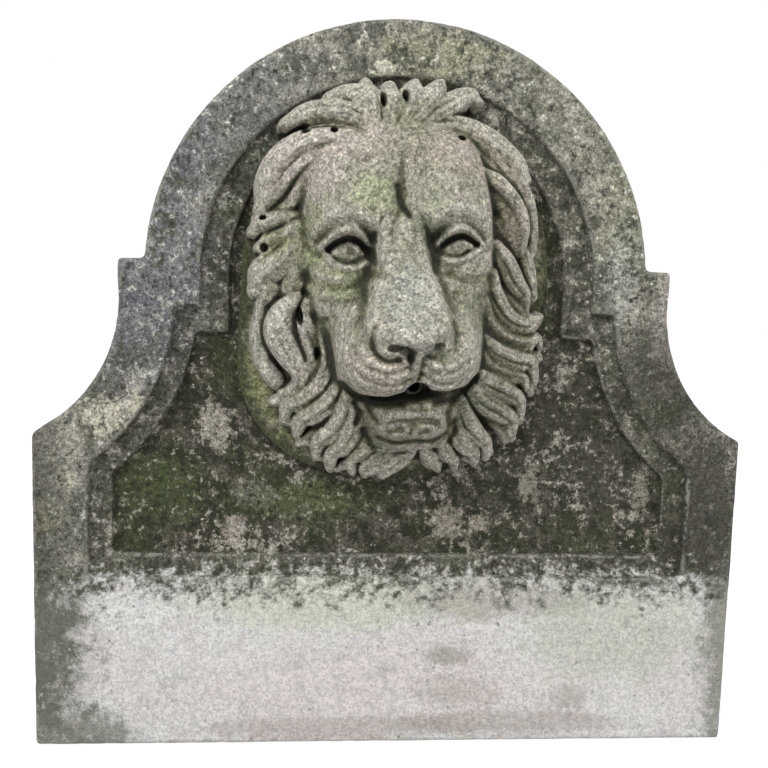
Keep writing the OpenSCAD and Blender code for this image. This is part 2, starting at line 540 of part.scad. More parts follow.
// A stroke or lock only counts near its own points
function reach(p, room) = [for (k = [0, 1]) [min([for (q = p) q[k]]) - room, max([for (q = p) q[k]]) + room]];
function near(b, x, y) = x > b[0][0] && x < b[0][1] && y > b[1][0] && y < b[1][1];
ropes = [for (l = locks) rope([for (q = l) if (is_list(q)) q])];
leans = [for (l = locks) l[len(l) - 1]];
lock_reach = [for (r = ropes) reach(r, lock_room)];
stroke_reach = [for (s = strokes) reach(s[0], stroke_room * s[1])];

// Height of the relief over the mask's flat back
function relief(x, y, line) =
    let (stone = max([for (m = masses) mass_top(m, x, y)]),
        hair = max(concat([-under], [for (i = [0 : len(ropes) - 1])
            if (near(lock_reach[i], x, y)) lock_top(ropes[i], leans[i], x, y)])),
        marks = sum([for (i = [0 : len(strokes) - 1])
            if (near(stroke_reach[i], x, y)) stroke_top(strokes[i], x, y)]))
    max(stone, hair, face_top(line, x)) + marks;

// The relief on a square net, its rim dropped under the flat back and closed to one point below
module carved() {
    pitch = carving[0] / net_across;
    w = cols + 1;
    x = [for (i = [0 : cols]) net_middle[0] + (i - cols / 2) * pitch];
    y = [for (j = [0 : rows]) net_middle[1] + (j - rows / 2) * pitch];
    z = [for (j = [0 : rows]) let (line = face_line(y[j])) [for (i = [0 : cols])
        i == 0 || j == 0 || i == cols || j == rows ? -under - rim_drop
        : max(relief(x[i], y[j], line), -under)]];
    points = concat([for (j = [0 : rows], i = [0 : cols]) [x[i] * grow[0], y[j] * grow[1], z[j][i] * grow[2]]],
        [[net_middle[0], net_middle[1], (-under - rim_drop) * grow[2]]]);
    top = [for (j = [0 : rows - 1], i = [0 : cols - 1]) let (a = j * w + i, b = a + 1, c = a + w, d = c + 1)
        each abs(z[j][i] - z[j + 1][i + 1]) < abs(z[j][i + 1] - z[j + 1][i])
            ? [[a, c, d], [a, d, b]] : [[a, c, b], [b, c, d]]];
    rim = concat([for (i = [0 : cols - 1]) i], [for (j = [0 : rows - 1]) j * w + cols],
        [for (i = [0 : cols - 1]) rows * w + cols - i], [for (j = [0 : rows - 1]) (rows - j) * w]);
    foot = [for (i = [0 : len(rim) - 1]) [rim[i], rim[(i + 1) % len(rim)], w * (rows + 1)]];
    polyhedron(points, concat(top, foot));
}

// The mouth is a three-cornered gap between the lips, cut straight in to the spout's seat
lips = [[0, 15], [14, 2], [36, -11], [36, -17], [-36, -17], [-36, -11], [-14, 3]];
module mouth_gap() {
    translate([0, 0, mouth_floor]) linear_extrude(head_d)
        polygon([for (p = lips) [(mouth[0] + p[0]) * grow[0], (mouth[1] + p[1]) * grow[1]]]);
}

module head_dowels() {
    color("#b9bcbd") at_dowels() across_stone(dowel_d / 2, dowel_y + seat_gap, dowel_y + dowel_l - seat_gap);
}

module dowel_resin() {
    color("#c9b884") at_dowels() difference() {
        across_stone(dowel_hole_r - seat_gap, dowel_y + seat_gap, dowel_y + dowel_l - seat_gap);
        across_stone(dowel_d / 2 + seat_gap / 2, dowel_y, dowel_y + dowel_l);
    }
}

module spout_pipe() {
    color("#8a5a3c") translate([spout_x, 0, spout_z]) difference() {
        across_stone(pipe_r, spout_end_y, pipe_y - leg_l + socket_l);
        across_stone(pipe_r - pipe_wall, spout_end_y - over, pipe_y);
    }
}

// One ring at the pocket's floor and one at the floor of the mouth
module pipe_packing() {
    color("#8d8b84") translate([spout_x, 0, spout_z]) for (y = [bed_y - mouth_floor, pocket_y - packing_l])
        difference() {
            across_stone(bore_r - seat_gap, y, y + packing_l);
            across_stone(pipe_r + seat_gap / 2, y - over, y + packing_l + over);
        }
}

// A threaded leg along +Z from its fitting's centre, before it is bored
module leg(l) {
    cylinder(r = leg_r, h = l);
}

// What is bored out of a leg: the waterway, the pipe's socket and the olive's seat
module leg_bore(l) {
    cylinder(r = pipe_r - pipe_wall, h = l);
    translate([0, 0, l - socket_l]) cylinder(r = pipe_r + seat_gap / 2, h = socket_l + over);
    translate([0, 0, l - olive_l / 2]) cylinder(r = olive_d / 2 + seat_gap, h = olive_l);
}

module nut(l) {
    shoulder = l + olive_l / 2;
    start = shoulder + nut_end - nut_l;
    difference() {
        translate([0, 0, start]) cylinder(r = nut_af / 2 / cos(30), h = nut_l, $fn = 6);
        translate([0, 0, start - over]) cylinder(r = leg_r + seat_gap, h = shoulder - start + over);
        cylinder(r = pipe_r + seat_gap / 2, h = l + nut_l + over);
    }
}

module olive(l) {
    translate([0, 0, l - olive_l / 2]) difference() {
        cylinder(r = olive_d / 2, h = olive_l);
        translate([0, 0, -over]) cylinder(r = pipe_r + seat_gap / 2, h = olive_l + 2 * over);
    }
}

// The three compression joints: the elbow's two legs and the inlet's one
module at_spout_leg() {
    translate([spout_x, pipe_y, spout_z]) rotate([90, 0, 0]) children();
}

module at_supply_leg() {
    translate([spout_x, pipe_y, spout_z]) rotate([180, 0, 0]) children();
}

module at_inlet_leg() {
    translate([spout_x, pipe_y, inlet_z + inlet_stop]) children();
}

module elbow_body() {
    color("#b08d3e") difference() {
        union() {
            at_spout_leg() leg(leg_l);
            at_supply_leg() leg(leg_l);
            translate([spout_x, pipe_y, spout_z]) sphere(leg_r + ball_wall);
        }
        at_spout_leg() leg_bore(leg_l);
        at_supply_leg() leg_bore(leg_l);
    }
}

module inlet_adapter() {
    color("#b08d3e") difference() {
        union() {
            at_inlet_leg() leg(inlet_leg);
            translate([spout_x, pipe_y, inlet_z]) cylinder(r = inlet_d / 2, h = inlet_l + over);
            translate([spout_x, pipe_y, inlet_z + inlet_l])
                cylinder(r = nut_af / 2 / cos(30), h = hex_l, $fn = 6);
        }
        at_inlet_leg() leg_bore(inlet_leg);
        translate([spout_x, pipe_y, inlet_z - over])
            cylinder(r = pipe_r - pipe_wall, h = inlet_stop + 2 * over);
    }
}

module compression_nuts() {
    color("#b8964a") {
        at_spout_leg() nut(leg_l);
        at_supply_leg() nut(leg_l);
        at_inlet_leg() nut(inlet_leg);
    }
}

module olives() {
    color("#a97c33") {
        at_spout_leg() olive(leg_l);
        at_supply_leg() olive(leg_l);
        at_inlet_leg() olive(inlet_leg);
    }
}

module supply_pipe() {
    low = inlet_z + inlet_stop + inlet_leg - socket_l;
    high = spout_z - leg_l + socket_l;
    color("#8a5a3c") translate([spout_x, pipe_y, low]) difference() {
        cylinder(r = pipe_r, h = high - low);
        translate([0, 0, -over]) cylinder(r = pipe_r - pipe_wall, h = high - low + 2 * over);
    }
}

// Each clip arches over the pipe and is screwed to the floor of the chase through two ears
module pipe_clips() {
    inner = pipe_r + seat_gap / 2;
    color("#9c6a3f") for (i = [0 : clip_count - 1])
        translate([spout_x, pipe_y, clip_z(i) - clip_w / 2]) difference() {
            linear_extrude(clip_w) difference() {
                union() {
                    circle(inner + clip_t);
                    translate([ear_trim - clip_screw_x - clip_w / 2, -pipe_r])
                        square([2 * clip_screw_x + clip_w - 2 * ear_trim, clip_t]);
                }
                circle(inner);
                translate([-chase_w, -chase_w - pipe_r]) square([2 * chase_w, chase_w]);
            }
            for (side = [-1, 1]) translate([side * clip_screw_x, 0, clip_w / 2])
                across_stone(screw_d / 2 + screw_play, -pipe_r - over, -pipe_r + clip_t + over);
        }
}

module clip_screws() {
    head_y = chase_y + clip_t;
    color("#b08d3e") at_clip_screws() {
        across_stone(screw_d / 2, head_y - screw_l, head_y + screw_head_h / 2);
        across_stone(screw_head_d / 2, head_y, head_y + screw_head_h);
    }
}

module clip_plugs() {
    color("#b5453a") at_clip_screws() difference() {
        across_stone(plug_d / 2 - seat_gap / 2, chase_y - plug_l, chase_y);
        across_stone(screw_d / 2 + seat_gap / 2, chase_y - plug_l + plug_end, chase_y + over);
    }
}

module anchor_sockets() {
    color("#b9bcbd") at_anchors() difference() {
        across_stone(anchor_d / 2, back_y - anchor_l + seat_gap, back_y);
        across_stone(anchor_bore_d / 2, back_y - anchor_thread_l, back_y + over);
    }
}

module socket_resin() {
    color("#c9b884") at_anchors() difference() {
        across_stone(anchor_hole_r - seat_gap, back_y - anchor_l + seat_gap, back_y);
        across_stone(anchor_d / 2 + seat_gap / 2, back_y - anchor_l, back_y + over);
    }
}

back_slab();
mortar_bed();
lion_head();
head_dowels();
dowel_resin();
spout_pipe();
pipe_packing();
elbow_body();
inlet_adapter();
compression_nuts();
olives();
supply_pipe();
pipe_clips();
clip_screws();
clip_plugs();
anchor_sockets();
socket_resin();
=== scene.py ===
import math
import bpy
import numpy as np
from mathutils import Matrix, Vector, kdtree, noise


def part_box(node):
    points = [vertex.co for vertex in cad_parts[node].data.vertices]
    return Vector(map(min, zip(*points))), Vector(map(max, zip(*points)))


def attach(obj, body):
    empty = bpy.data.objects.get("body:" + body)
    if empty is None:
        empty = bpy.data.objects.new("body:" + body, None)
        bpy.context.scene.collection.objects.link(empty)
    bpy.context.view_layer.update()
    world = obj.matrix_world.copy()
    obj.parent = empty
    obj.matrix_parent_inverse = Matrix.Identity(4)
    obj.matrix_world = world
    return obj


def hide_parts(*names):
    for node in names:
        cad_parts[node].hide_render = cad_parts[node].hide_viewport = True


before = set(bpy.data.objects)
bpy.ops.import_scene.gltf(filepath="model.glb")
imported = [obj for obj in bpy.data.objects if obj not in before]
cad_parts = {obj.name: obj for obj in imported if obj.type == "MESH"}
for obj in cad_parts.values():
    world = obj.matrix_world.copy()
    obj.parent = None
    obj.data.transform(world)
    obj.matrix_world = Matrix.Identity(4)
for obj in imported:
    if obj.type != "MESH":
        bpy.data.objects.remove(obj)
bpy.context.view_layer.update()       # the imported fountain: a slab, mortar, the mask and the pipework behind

mm = 0.001
print("frame loaded,", len(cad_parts), "nodes")


# Nodes are put together with these few

def put(tree, kind, *values, **settings):
    # one node: the values go to its inputs in order, and its first output comes back
    made = tree.nodes.new("ShaderNode" + kind)
    for name, value in settings.items():
        setattr(made, name, value)
    for slot, value in zip(made.inputs, values):
        if isinstance(value, bpy.types.NodeSocket):
            tree.links.new(value, slot)
        else:
            slot.default_value = value
    return made.outputs[0]


def sums(tree, how, a, b=0.0, c=0.0, clamp=False):
    return put(tree, "Math", a, b, c, operation=how, use_clamp=clamp)


def fade(tree, value, low, high, start=0.0, end=1.0):
    # start below low and end above high, with a soft change between
    return put(tree, "MapRange", value, low, high, start, end, interpolation_type="SMOOTHSTEP")


def tint(tree, share, under, over, mode="MIX"):
    made = tree.nodes.new("ShaderNodeMix")
    made.data_type, made.blend_type = "RGBA", mode
    for slot, value in ((0, share), (6, under), (7, over)):
        if isinstance(value, bpy.types.NodeSocket):
            tree.links.new(value, made.inputs[slot])
        elif slot == 0:
            made.inputs[slot].default_value = value
        else:
            made.inputs[slot].default_value = (*value, 1)
    return made.outputs[2]


def grain(tree, place, scale, detail, rough=0.55, bend=0.0):
    made = tree.nodes.new("ShaderNodeTexNoise")
    for name, value in (("Scale", scale), ("Detail", detail), ("Roughness", rough), ("Distortion", bend)):
        made.inputs[name].default_value = value
    tree.links.new(place, made.inputs["Vector"])
    return made.outputs[0]


def painted(tree, name):
    # a value that the piece carries at its points
    made = tree.nodes.new("ShaderNodeAttribute")
    made.attribute_name = name
    return made.outputs["Fac"]


def apart(tree, place):
    made = tree.nodes.new("ShaderNodeSeparateXYZ")
    tree.links.new(place, made.inputs[0])
    return made.outputs


def startMaterial(name, rough, metal=0.0):
    material = bpy.data.materials.new(name)
    material.use_nodes = True
    tree = material.node_tree
    shader = tree.nodes["Principled BSDF"]
    shader.inputs["Roughness"].default_value = rough
    shader.inputs["Metallic"].default_value = metal
    place = tree.nodes.new("ShaderNodeTexCoord").outputs["Object"]
    return material, tree, shader, place


def relief(tree, shader, height, strength, distance):
    made = tree.nodes.new("ShaderNodeBump")
    made.inputs["Strength"].default_value = strength
    made.inputs["Distance"].default_value = distance
    tree.links.new(height, made.inputs["Height"])
    tree.links.new(made.outputs[0], shader.inputs["Normal"])


def layered(tree, colour, coats, **values):
    # coats over each other: the value each follows, where it starts and is full, how strong, its colour
    for name, first, full, share, coat in coats:
        colour = tint(tree, fade(tree, values[name], first, full, 0, share), colour, coat)
    return colour


def tinted(tree, colour, place, patches, ragged):
    # stains laid on: centre across and up, half width, half height, how strong, colour
    x, _, z = apart(tree, place)
    for across, up, wide, high, share, stain in patches:
        a = sums(tree, "MULTIPLY_ADD", x, 1 / (wide * mm), -across / wide)
        b = sums(tree, "MULTIPLY_ADD", z, 1 / (high * mm), -up / high)
        both = sums(tree, "ADD", sums(tree, "MULTIPLY", a, a), sums(tree, "MULTIPLY", b, b))
        away = sums(tree, "ADD", sums(tree, "SQRT", both), ragged)
        colour = tint(tree, fade(tree, away, 1.25, 0.55, 0, share), colour, stain)
    return colour


def speckled(tree, colour, place, low, high):
    # the stone's grains, 2 to 4 mm wide, pale and dark side by side
    fine = grain(tree, place, 340, 3, 0.7)
    wide = grain(tree, place, 130, 4, 0.8)
    both = sums(tree, "MULTIPLY_ADD", fine, 0.55, sums(tree, "MULTIPLY", wide, 0.45))
    return tint(tree, 1.0, colour, fade(tree, both, 0.41, 0.59, low, high), "MULTIPLY")


def gritty(tree, colour, place, share):
    # single pale grains standing out, and the black pits between them
    grit = grain(tree, place, 200, 2, 0.6)
    colour = tint(tree, fade(tree, grit, 0.57, 0.68, 0, share), colour, (1.9, 1.86, 1.76), "MULTIPLY")
    return tint(tree, fade(tree, grit, 0.43, 0.33, 0, share), colour, (0.36, 0.35, 0.32), "MULTIPLY")


def roughened(tree, shader, place, colour, scale, distance):
    # the colour goes on, and the grains stand out of the surface
    tree.links.new(colour, shader.inputs["Base Color"])
    relief(tree, shader, grain(tree, place, scale, 6, 0.8), 1.0, distance)


# Meshes are made and measured with these

def newPiece(name, points, faces):
    mesh = bpy.data.meshes.new(name)
    mesh.vertices.add(len(points))
    mesh.vertices.foreach_set("co", np.ascontiguousarray(points, dtype=np.float32).ravel())
    sides = faces.shape[1]
    mesh.loops.add(faces.size)
    mesh.loops.foreach_set("vertex_index", np.ascontiguousarray(faces, dtype=np.int32).ravel())
    mesh.polygons.add(len(faces))
    mesh.polygons.foreach_set("loop_start", np.arange(0, faces.size, sides, dtype=np.int32))
    mesh.update(calc_edges=True)
    mesh.validate()
    piece = bpy.data.objects.new(name, mesh)
    bpy.context.scene.collection.objects.link(piece)
    return piece


def applyModifiers(piece):
    graph = bpy.context.evaluated_depsgraph_get()
    made = bpy.data.meshes.new_from_object(piece.evaluated_get(graph))
    old = piece.data
    piece.modifiers.clear()
    piece.data = made
    bpy.data.meshes.remove(old)


def lighten(piece, most):
    # fewer faces where the stone is flat
    piece.data.calc_loop_triangles()
    have = len(piece.data.loop_triangles)
    if have > most:
        thin = piece.modifiers.new("thin", "DECIMATE")
        thin.ratio = most / have
        applyModifiers(piece)


def pointsOf(piece):
    places = np.empty(len(piece.data.vertices) * 3, np.float32)
    piece.data.vertices.foreach_get("co", places)
    return places.reshape(-1, 3).astype(float)


def giveValue(piece, name, values):
    layer = piece.data.attributes.new(name, "FLOAT", "POINT")
    layer.data.foreach_set("value", np.ascontiguousarray(values, dtype=np.float32))


# The mask is carved from a drawing of its own, in millimetres: u across, v up, h out from the flat back

mask = {
    "middle": (-3, 602),        # where u = v = 0 lies on the panel, across and up
    "lean": 5.5,                # degrees that the head leans over
    "deeper": 207 / 198,        # the drawing's heights are grown to the stone's
    "under": 40.0,              # how far the drawing goes on behind the flat back
    "tallest": 210,             # and how high it may rise, past the nose
    "step": 1.5,                # size of the chisel's smallest mark
    "low": (-206, -264),        # corners of the drawing
    "high": (200, 256),
    "lumps": 0.9,               # how far weather has moved the surface
    "pits": 1.3,
    "hairBlend": 13,            # how softly the hair grows out of the face, and lock out of lock
    "lockBlend": 2.5,
    "faces": 190000,            # most triangles
    "tones": ((0.28, 0.28, 0.20), (0.43, 0.405, 0.335)),
    "rosy": (0.49, 0.44, 0.39),
}


def smoothRun(points, pieces):
    # a curve through given points, every column of them alike
    p = np.array(points, float)
    p = np.vstack([2 * p[0] - p[1], p, 2 * p[-1] - p[-2]])
    t = np.linspace(0, len(p) - 3 - 1e-6, pieces + 1)
    i = t.astype(int)
    f = (t - i)[:, None]
    a, b, c, d = p[i], p[i + 1], p[i + 2], p[i + 3]
    bend, twist = 2 * a - 5 * b + 4 * c - d, 3 * b - a - 3 * c + d
    return (2 * b + (c - a) * f + bend * f ** 2 + twist * f ** 3) / 2


def alongRun(run, u, v):
    # for each place: how far it is from the run, on which side, and the run's own values beside it
    gap = np.full(u.shape, 1e3)
    side = np.ones(u.shape)
    values = np.zeros((run.shape[1] - 2,) + u.shape)
    share = np.zeros(u.shape)
    for n in range(len(run) - 1):
        a, b = run[n], run[n + 1]
        du, dv = u - a[0], v - a[1]
        bu, bv = b[0] - a[0], b[1] - a[1]
        t = np.clip((du * bu + dv * bv) / (bu * bu + bv * bv), 0, 1)
        away = np.hypot(du - t * bu, dv - t * bv)
        near = away < gap
        gap = np.where(near, away, gap)
        side = np.where(near, np.where(du * bv - dv * bu > 0, 1, -1), side)
        share = np.where(near, (n + t) / (len(run) - 1), share)
        for k in range(len(values)):
            values[k] = np.where(near, a[k + 2] + t * (b[k + 2] - a[k + 2]), values[k])
    return gap, side, share, values


def windowOn(run, reach, u, v):
    # the part of the drawing that a run can reach
    us, vs = u[:, 0], v[0]
    low, high = run[:, :2].min(0) - reach, run[:, :2].max(0) + reach
    return (slice(np.searchsorted(us, low[0]), np.searchsorted(us, high[0])),
            slice(np.searchsorted(vs, low[1]), np.searchsorted(vs, high[1])))


def massTop(mass, u, v):
    # the top of a rounded mass, and a steep fall past its edge
    middleU, middleV, foot, half, upward, downward, rise, turn, roundness, lean = mass
    du, dv, turn = u - middleU, v - middleV, math.radians(turn)
    across, up = du * math.cos(turn) + dv * math.sin(turn), dv * math.cos(turn) - du * math.sin(turn)
    q = 1 - (across / half) ** 2 - (up / np.where(up > 0, upward, downward)) ** 2
    return foot + lean * up + rise * np.where(q > 0, np.maximum(q, 0) ** roundness, 1.5 * q)


def drawMark(height, points, width, depth, u, v):
    # a groove or a ridge left by a round tool, thinning out at both ends
    run = smoothRun(points, 6 * len(points)) if len(points) > 2 else np.array(points, float)
    part = windowOn(run, 2.6 * width, u, v)
    gap = alongRun(run, u[part], v[part])[0]
    height[part] += depth * np.exp(-(gap / width) ** 2)


def lockTop(lock, u, v):
    # one lock of hair: a rounded rope with its strands, from root to tip
    points, lean, strands = lock
    run = smoothRun(points, 24)
    reach = 34      # past the edge of the widest lock
    part = windowOn(run, reach, u, v)
    gap, side, share, (crest, half) = alongRun(run, u[part], v[part])
    half = half * (1 + lean * side)
    q = gap / half
    top = crest - 0.95 * half * np.where(q < 1, 1 - np.maximum(1 - q * q, 0) ** 0.6, 5 * q * q - 4)
    if strands:
        place = (side * q + 1) / 2 * strands + 0.25 * np.sin(7 * share + strands + crest / 9)
        valley = 1 - np.abs(np.sin(np.pi * place)) ** 0.6
        ends = np.clip(4 * share, 0, 1) * np.clip(4 * (1 - share), 0, 1)
        thin = 1 - np.abs(np.sin(2.3 * np.pi * place + 1)) ** 0.8
        top -= np.where(q < 0.95, (0.34 * valley + 0.12 * thin) * half * ends, 0)
    return part, top


# Sections across the face from its left edge to its right one: the height v of each, then u and h along it
sections = {
    190: [(-58, 40), (-50, 52), (-42, 62), (-32, 70), (-22, 74), (-11, 76), (0, 77),
          (11, 76), (22, 74), (32, 70), (43, 62), (52, 52), (60, 40)],
    175: [(-70, 60), (-62, 76), (-50, 86), (-38, 91), (-25, 93), (-12, 94), (0, 95),
          (12, 94), (25, 93), (38, 91), (50, 87), (62, 78), (72, 60)],
    160: [(-92, 58), (-82, 82), (-68, 96), (-50, 105), (-30, 106), (-14, 103), (0, 102),
          (13, 103), (28, 106), (50, 107), (68, 99), (83, 85), (94, 60)],
    140: [(-105, 58), (-95, 86), (-80, 106), (-58, 118), (-34, 117), (-14, 111), (0, 108),
          (13, 111), (32, 117), (56, 119), (80, 108), (96, 88), (105, 60)],
    115: [(-112, 58), (-102, 89), (-85, 112), (-60, 127), (-34, 125), (-14, 116), (2, 111),
          (14, 117), (34, 126), (57, 128), (83, 114), (101, 92), (110, 60)],
    90: [(-116, 58), (-106, 90), (-88, 116), (-62, 132), (-36, 130), (-16, 122), (2, 112),
         (14, 122), (32, 130), (58, 132), (85, 118), (104, 95), (113, 62)],
    72: [(-117, 58), (-108, 88), (-91, 113), (-64, 130), (-38, 128), (-18, 124), (-2, 122),
         (14, 124), (34, 128), (60, 130), (87, 115), (106, 94), (114, 62)],
    57: [(-118, 56), (-109, 84), (-93, 104), (-66, 118), (-40, 112), (-20, 124), (-3, 130),
         (15, 124), (34, 112), (62, 118), (88, 108), (106, 90), (114, 60)],
    40: [(-118, 56), (-110, 80), (-94, 96), (-66, 104), (-40, 96), (-24, 128), (-3, 138),
         (19, 128), (36, 96), (62, 104), (88, 98), (106, 86), (114, 60)],
    22: [(-118, 54), (-110, 82), (-94, 102), (-68, 114), (-42, 108), (-28, 136), (-3, 145),
         (22, 136), (37, 108), (63, 114), (88, 104), (105, 86), (113, 58)],
    5: [(-118, 54), (-110, 82), (-94, 104), (-70, 117), (-46, 118), (-31, 143), (-3, 150),
        (26, 143), (40, 118), (64, 117), (88, 104), (104, 84), (112, 58)],
    -15: [(-116, 52), (-108, 78), (-92, 100), (-72, 114), (-50, 124), (-35, 152), (-3, 158),
          (30, 152), (45, 124), (65, 116), (86, 101), (100, 80), (109, 56)],
    -35: [(-110, 52), (-101, 74), (-88, 98), (-72, 118), (-54, 134), (-39, 162), (-3, 168),
          (33, 162), (49, 134), (66, 119), (82, 99), (96, 78), (104, 54)],
    -52: [(-102, 52), (-94, 76), (-84, 104), (-70, 128), (-56, 144), (-42, 170), (-3, 184),
          (36, 170), (51, 144), (66, 130), (80, 106), (92, 80), (100, 54)],
    -64: [(-97, 50), (-91, 78), (-82, 112), (-69, 136), (-56, 150), (-40, 164), (-3, 190),
          (36, 164), (51, 150), (66, 137), (80, 112), (91, 82), (98, 54)],
    -74: [(-94, 50), (-89, 82), (-80, 118), (-67, 143), (-52, 158), (-30, 166), (1, 170),
          (28, 166), (49, 158), (66, 143), (79, 118), (90, 84), (97, 52)],
    -90: [(-92, 50), (-87, 84), (-78, 120), (-64, 146), (-46, 162), (-24, 166), (3, 160),
          (27, 166), (46, 162), (64, 145), (78, 120), (88, 84), (95, 50)],
    -108: [(-90, 48), (-85, 78), (-76, 112), (-61, 138), (-44, 152), (-24, 156), (4, 146),
           (28, 156), (46, 152), (63, 136), (76, 110), (86, 76), (93, 48)],
    -122: [(-88, 46), (-80, 66), (-70, 94), (-57, 120), (-42, 136), (-25, 142), (4, 128),
           (28, 142), (46, 136), (60, 118), (72, 90), (82, 64), (90, 46)],
    -133: [(-86, 46), (-76, 54), (-66, 66), (-54, 84), (-42, 102), (-26, 108), (2, 104),
           (28, 108), (44, 102), (56, 84), (68, 66), (78, 54), (88, 46)],
    -142: [(-84, 46), (-72, 52), (-60, 66), (-48, 88), (-36, 104), (-18, 116), (2, 120),
           (22, 116), (38, 104), (48, 88), (60, 66), (72, 52), (84, 46)],
    -158: [(-80, 44), (-68, 52), (-56, 70), (-46, 88), (-34, 103), (-18, 113), (2, 116),
           (20, 113), (34, 103), (46, 88), (58, 70), (68, 52), (80, 44)],
    -178: [(-76, 40), (-64, 48), (-54, 60), (-43, 78), (-32, 92), (-16, 102), (2, 104),
           (18, 102), (32, 92), (43, 78), (54, 60), (64, 48), (74, 40)],
    -194: [(-72, 34), (-60, 40), (-49, 48), (-38, 58), (-28, 66), (-14, 72), (0, 73),
           (16, 72), (30, 66), (40, 58), (50, 48), (60, 40), (70, 34)],
    -210: [(-66, 30), (-56, 33), (-46, 36), (-36, 40), (-26, 44), (-13, 46), (0, 47),
           (14, 46), (27, 44), (37, 40), (47, 36), (56, 33), (64, 30)],
}

# Rounded masses: u, v, foot, half width, reach up, reach down, rise, turn, roundness, lean
body = [
    [0, 20, 0, 138, 190, 200, 56, 0, 0.5, 0],
    [0, -120, 0, 108, 60, 110, 52, 0, 0.5, 0],
]
eyeballs = [
    [-64, 40, 90, 28, 21, 20, 20, 3, 0.6, 0],
    [65, 37, 90, 28, 20, 19, 20, -4, 0.6, 0],
]

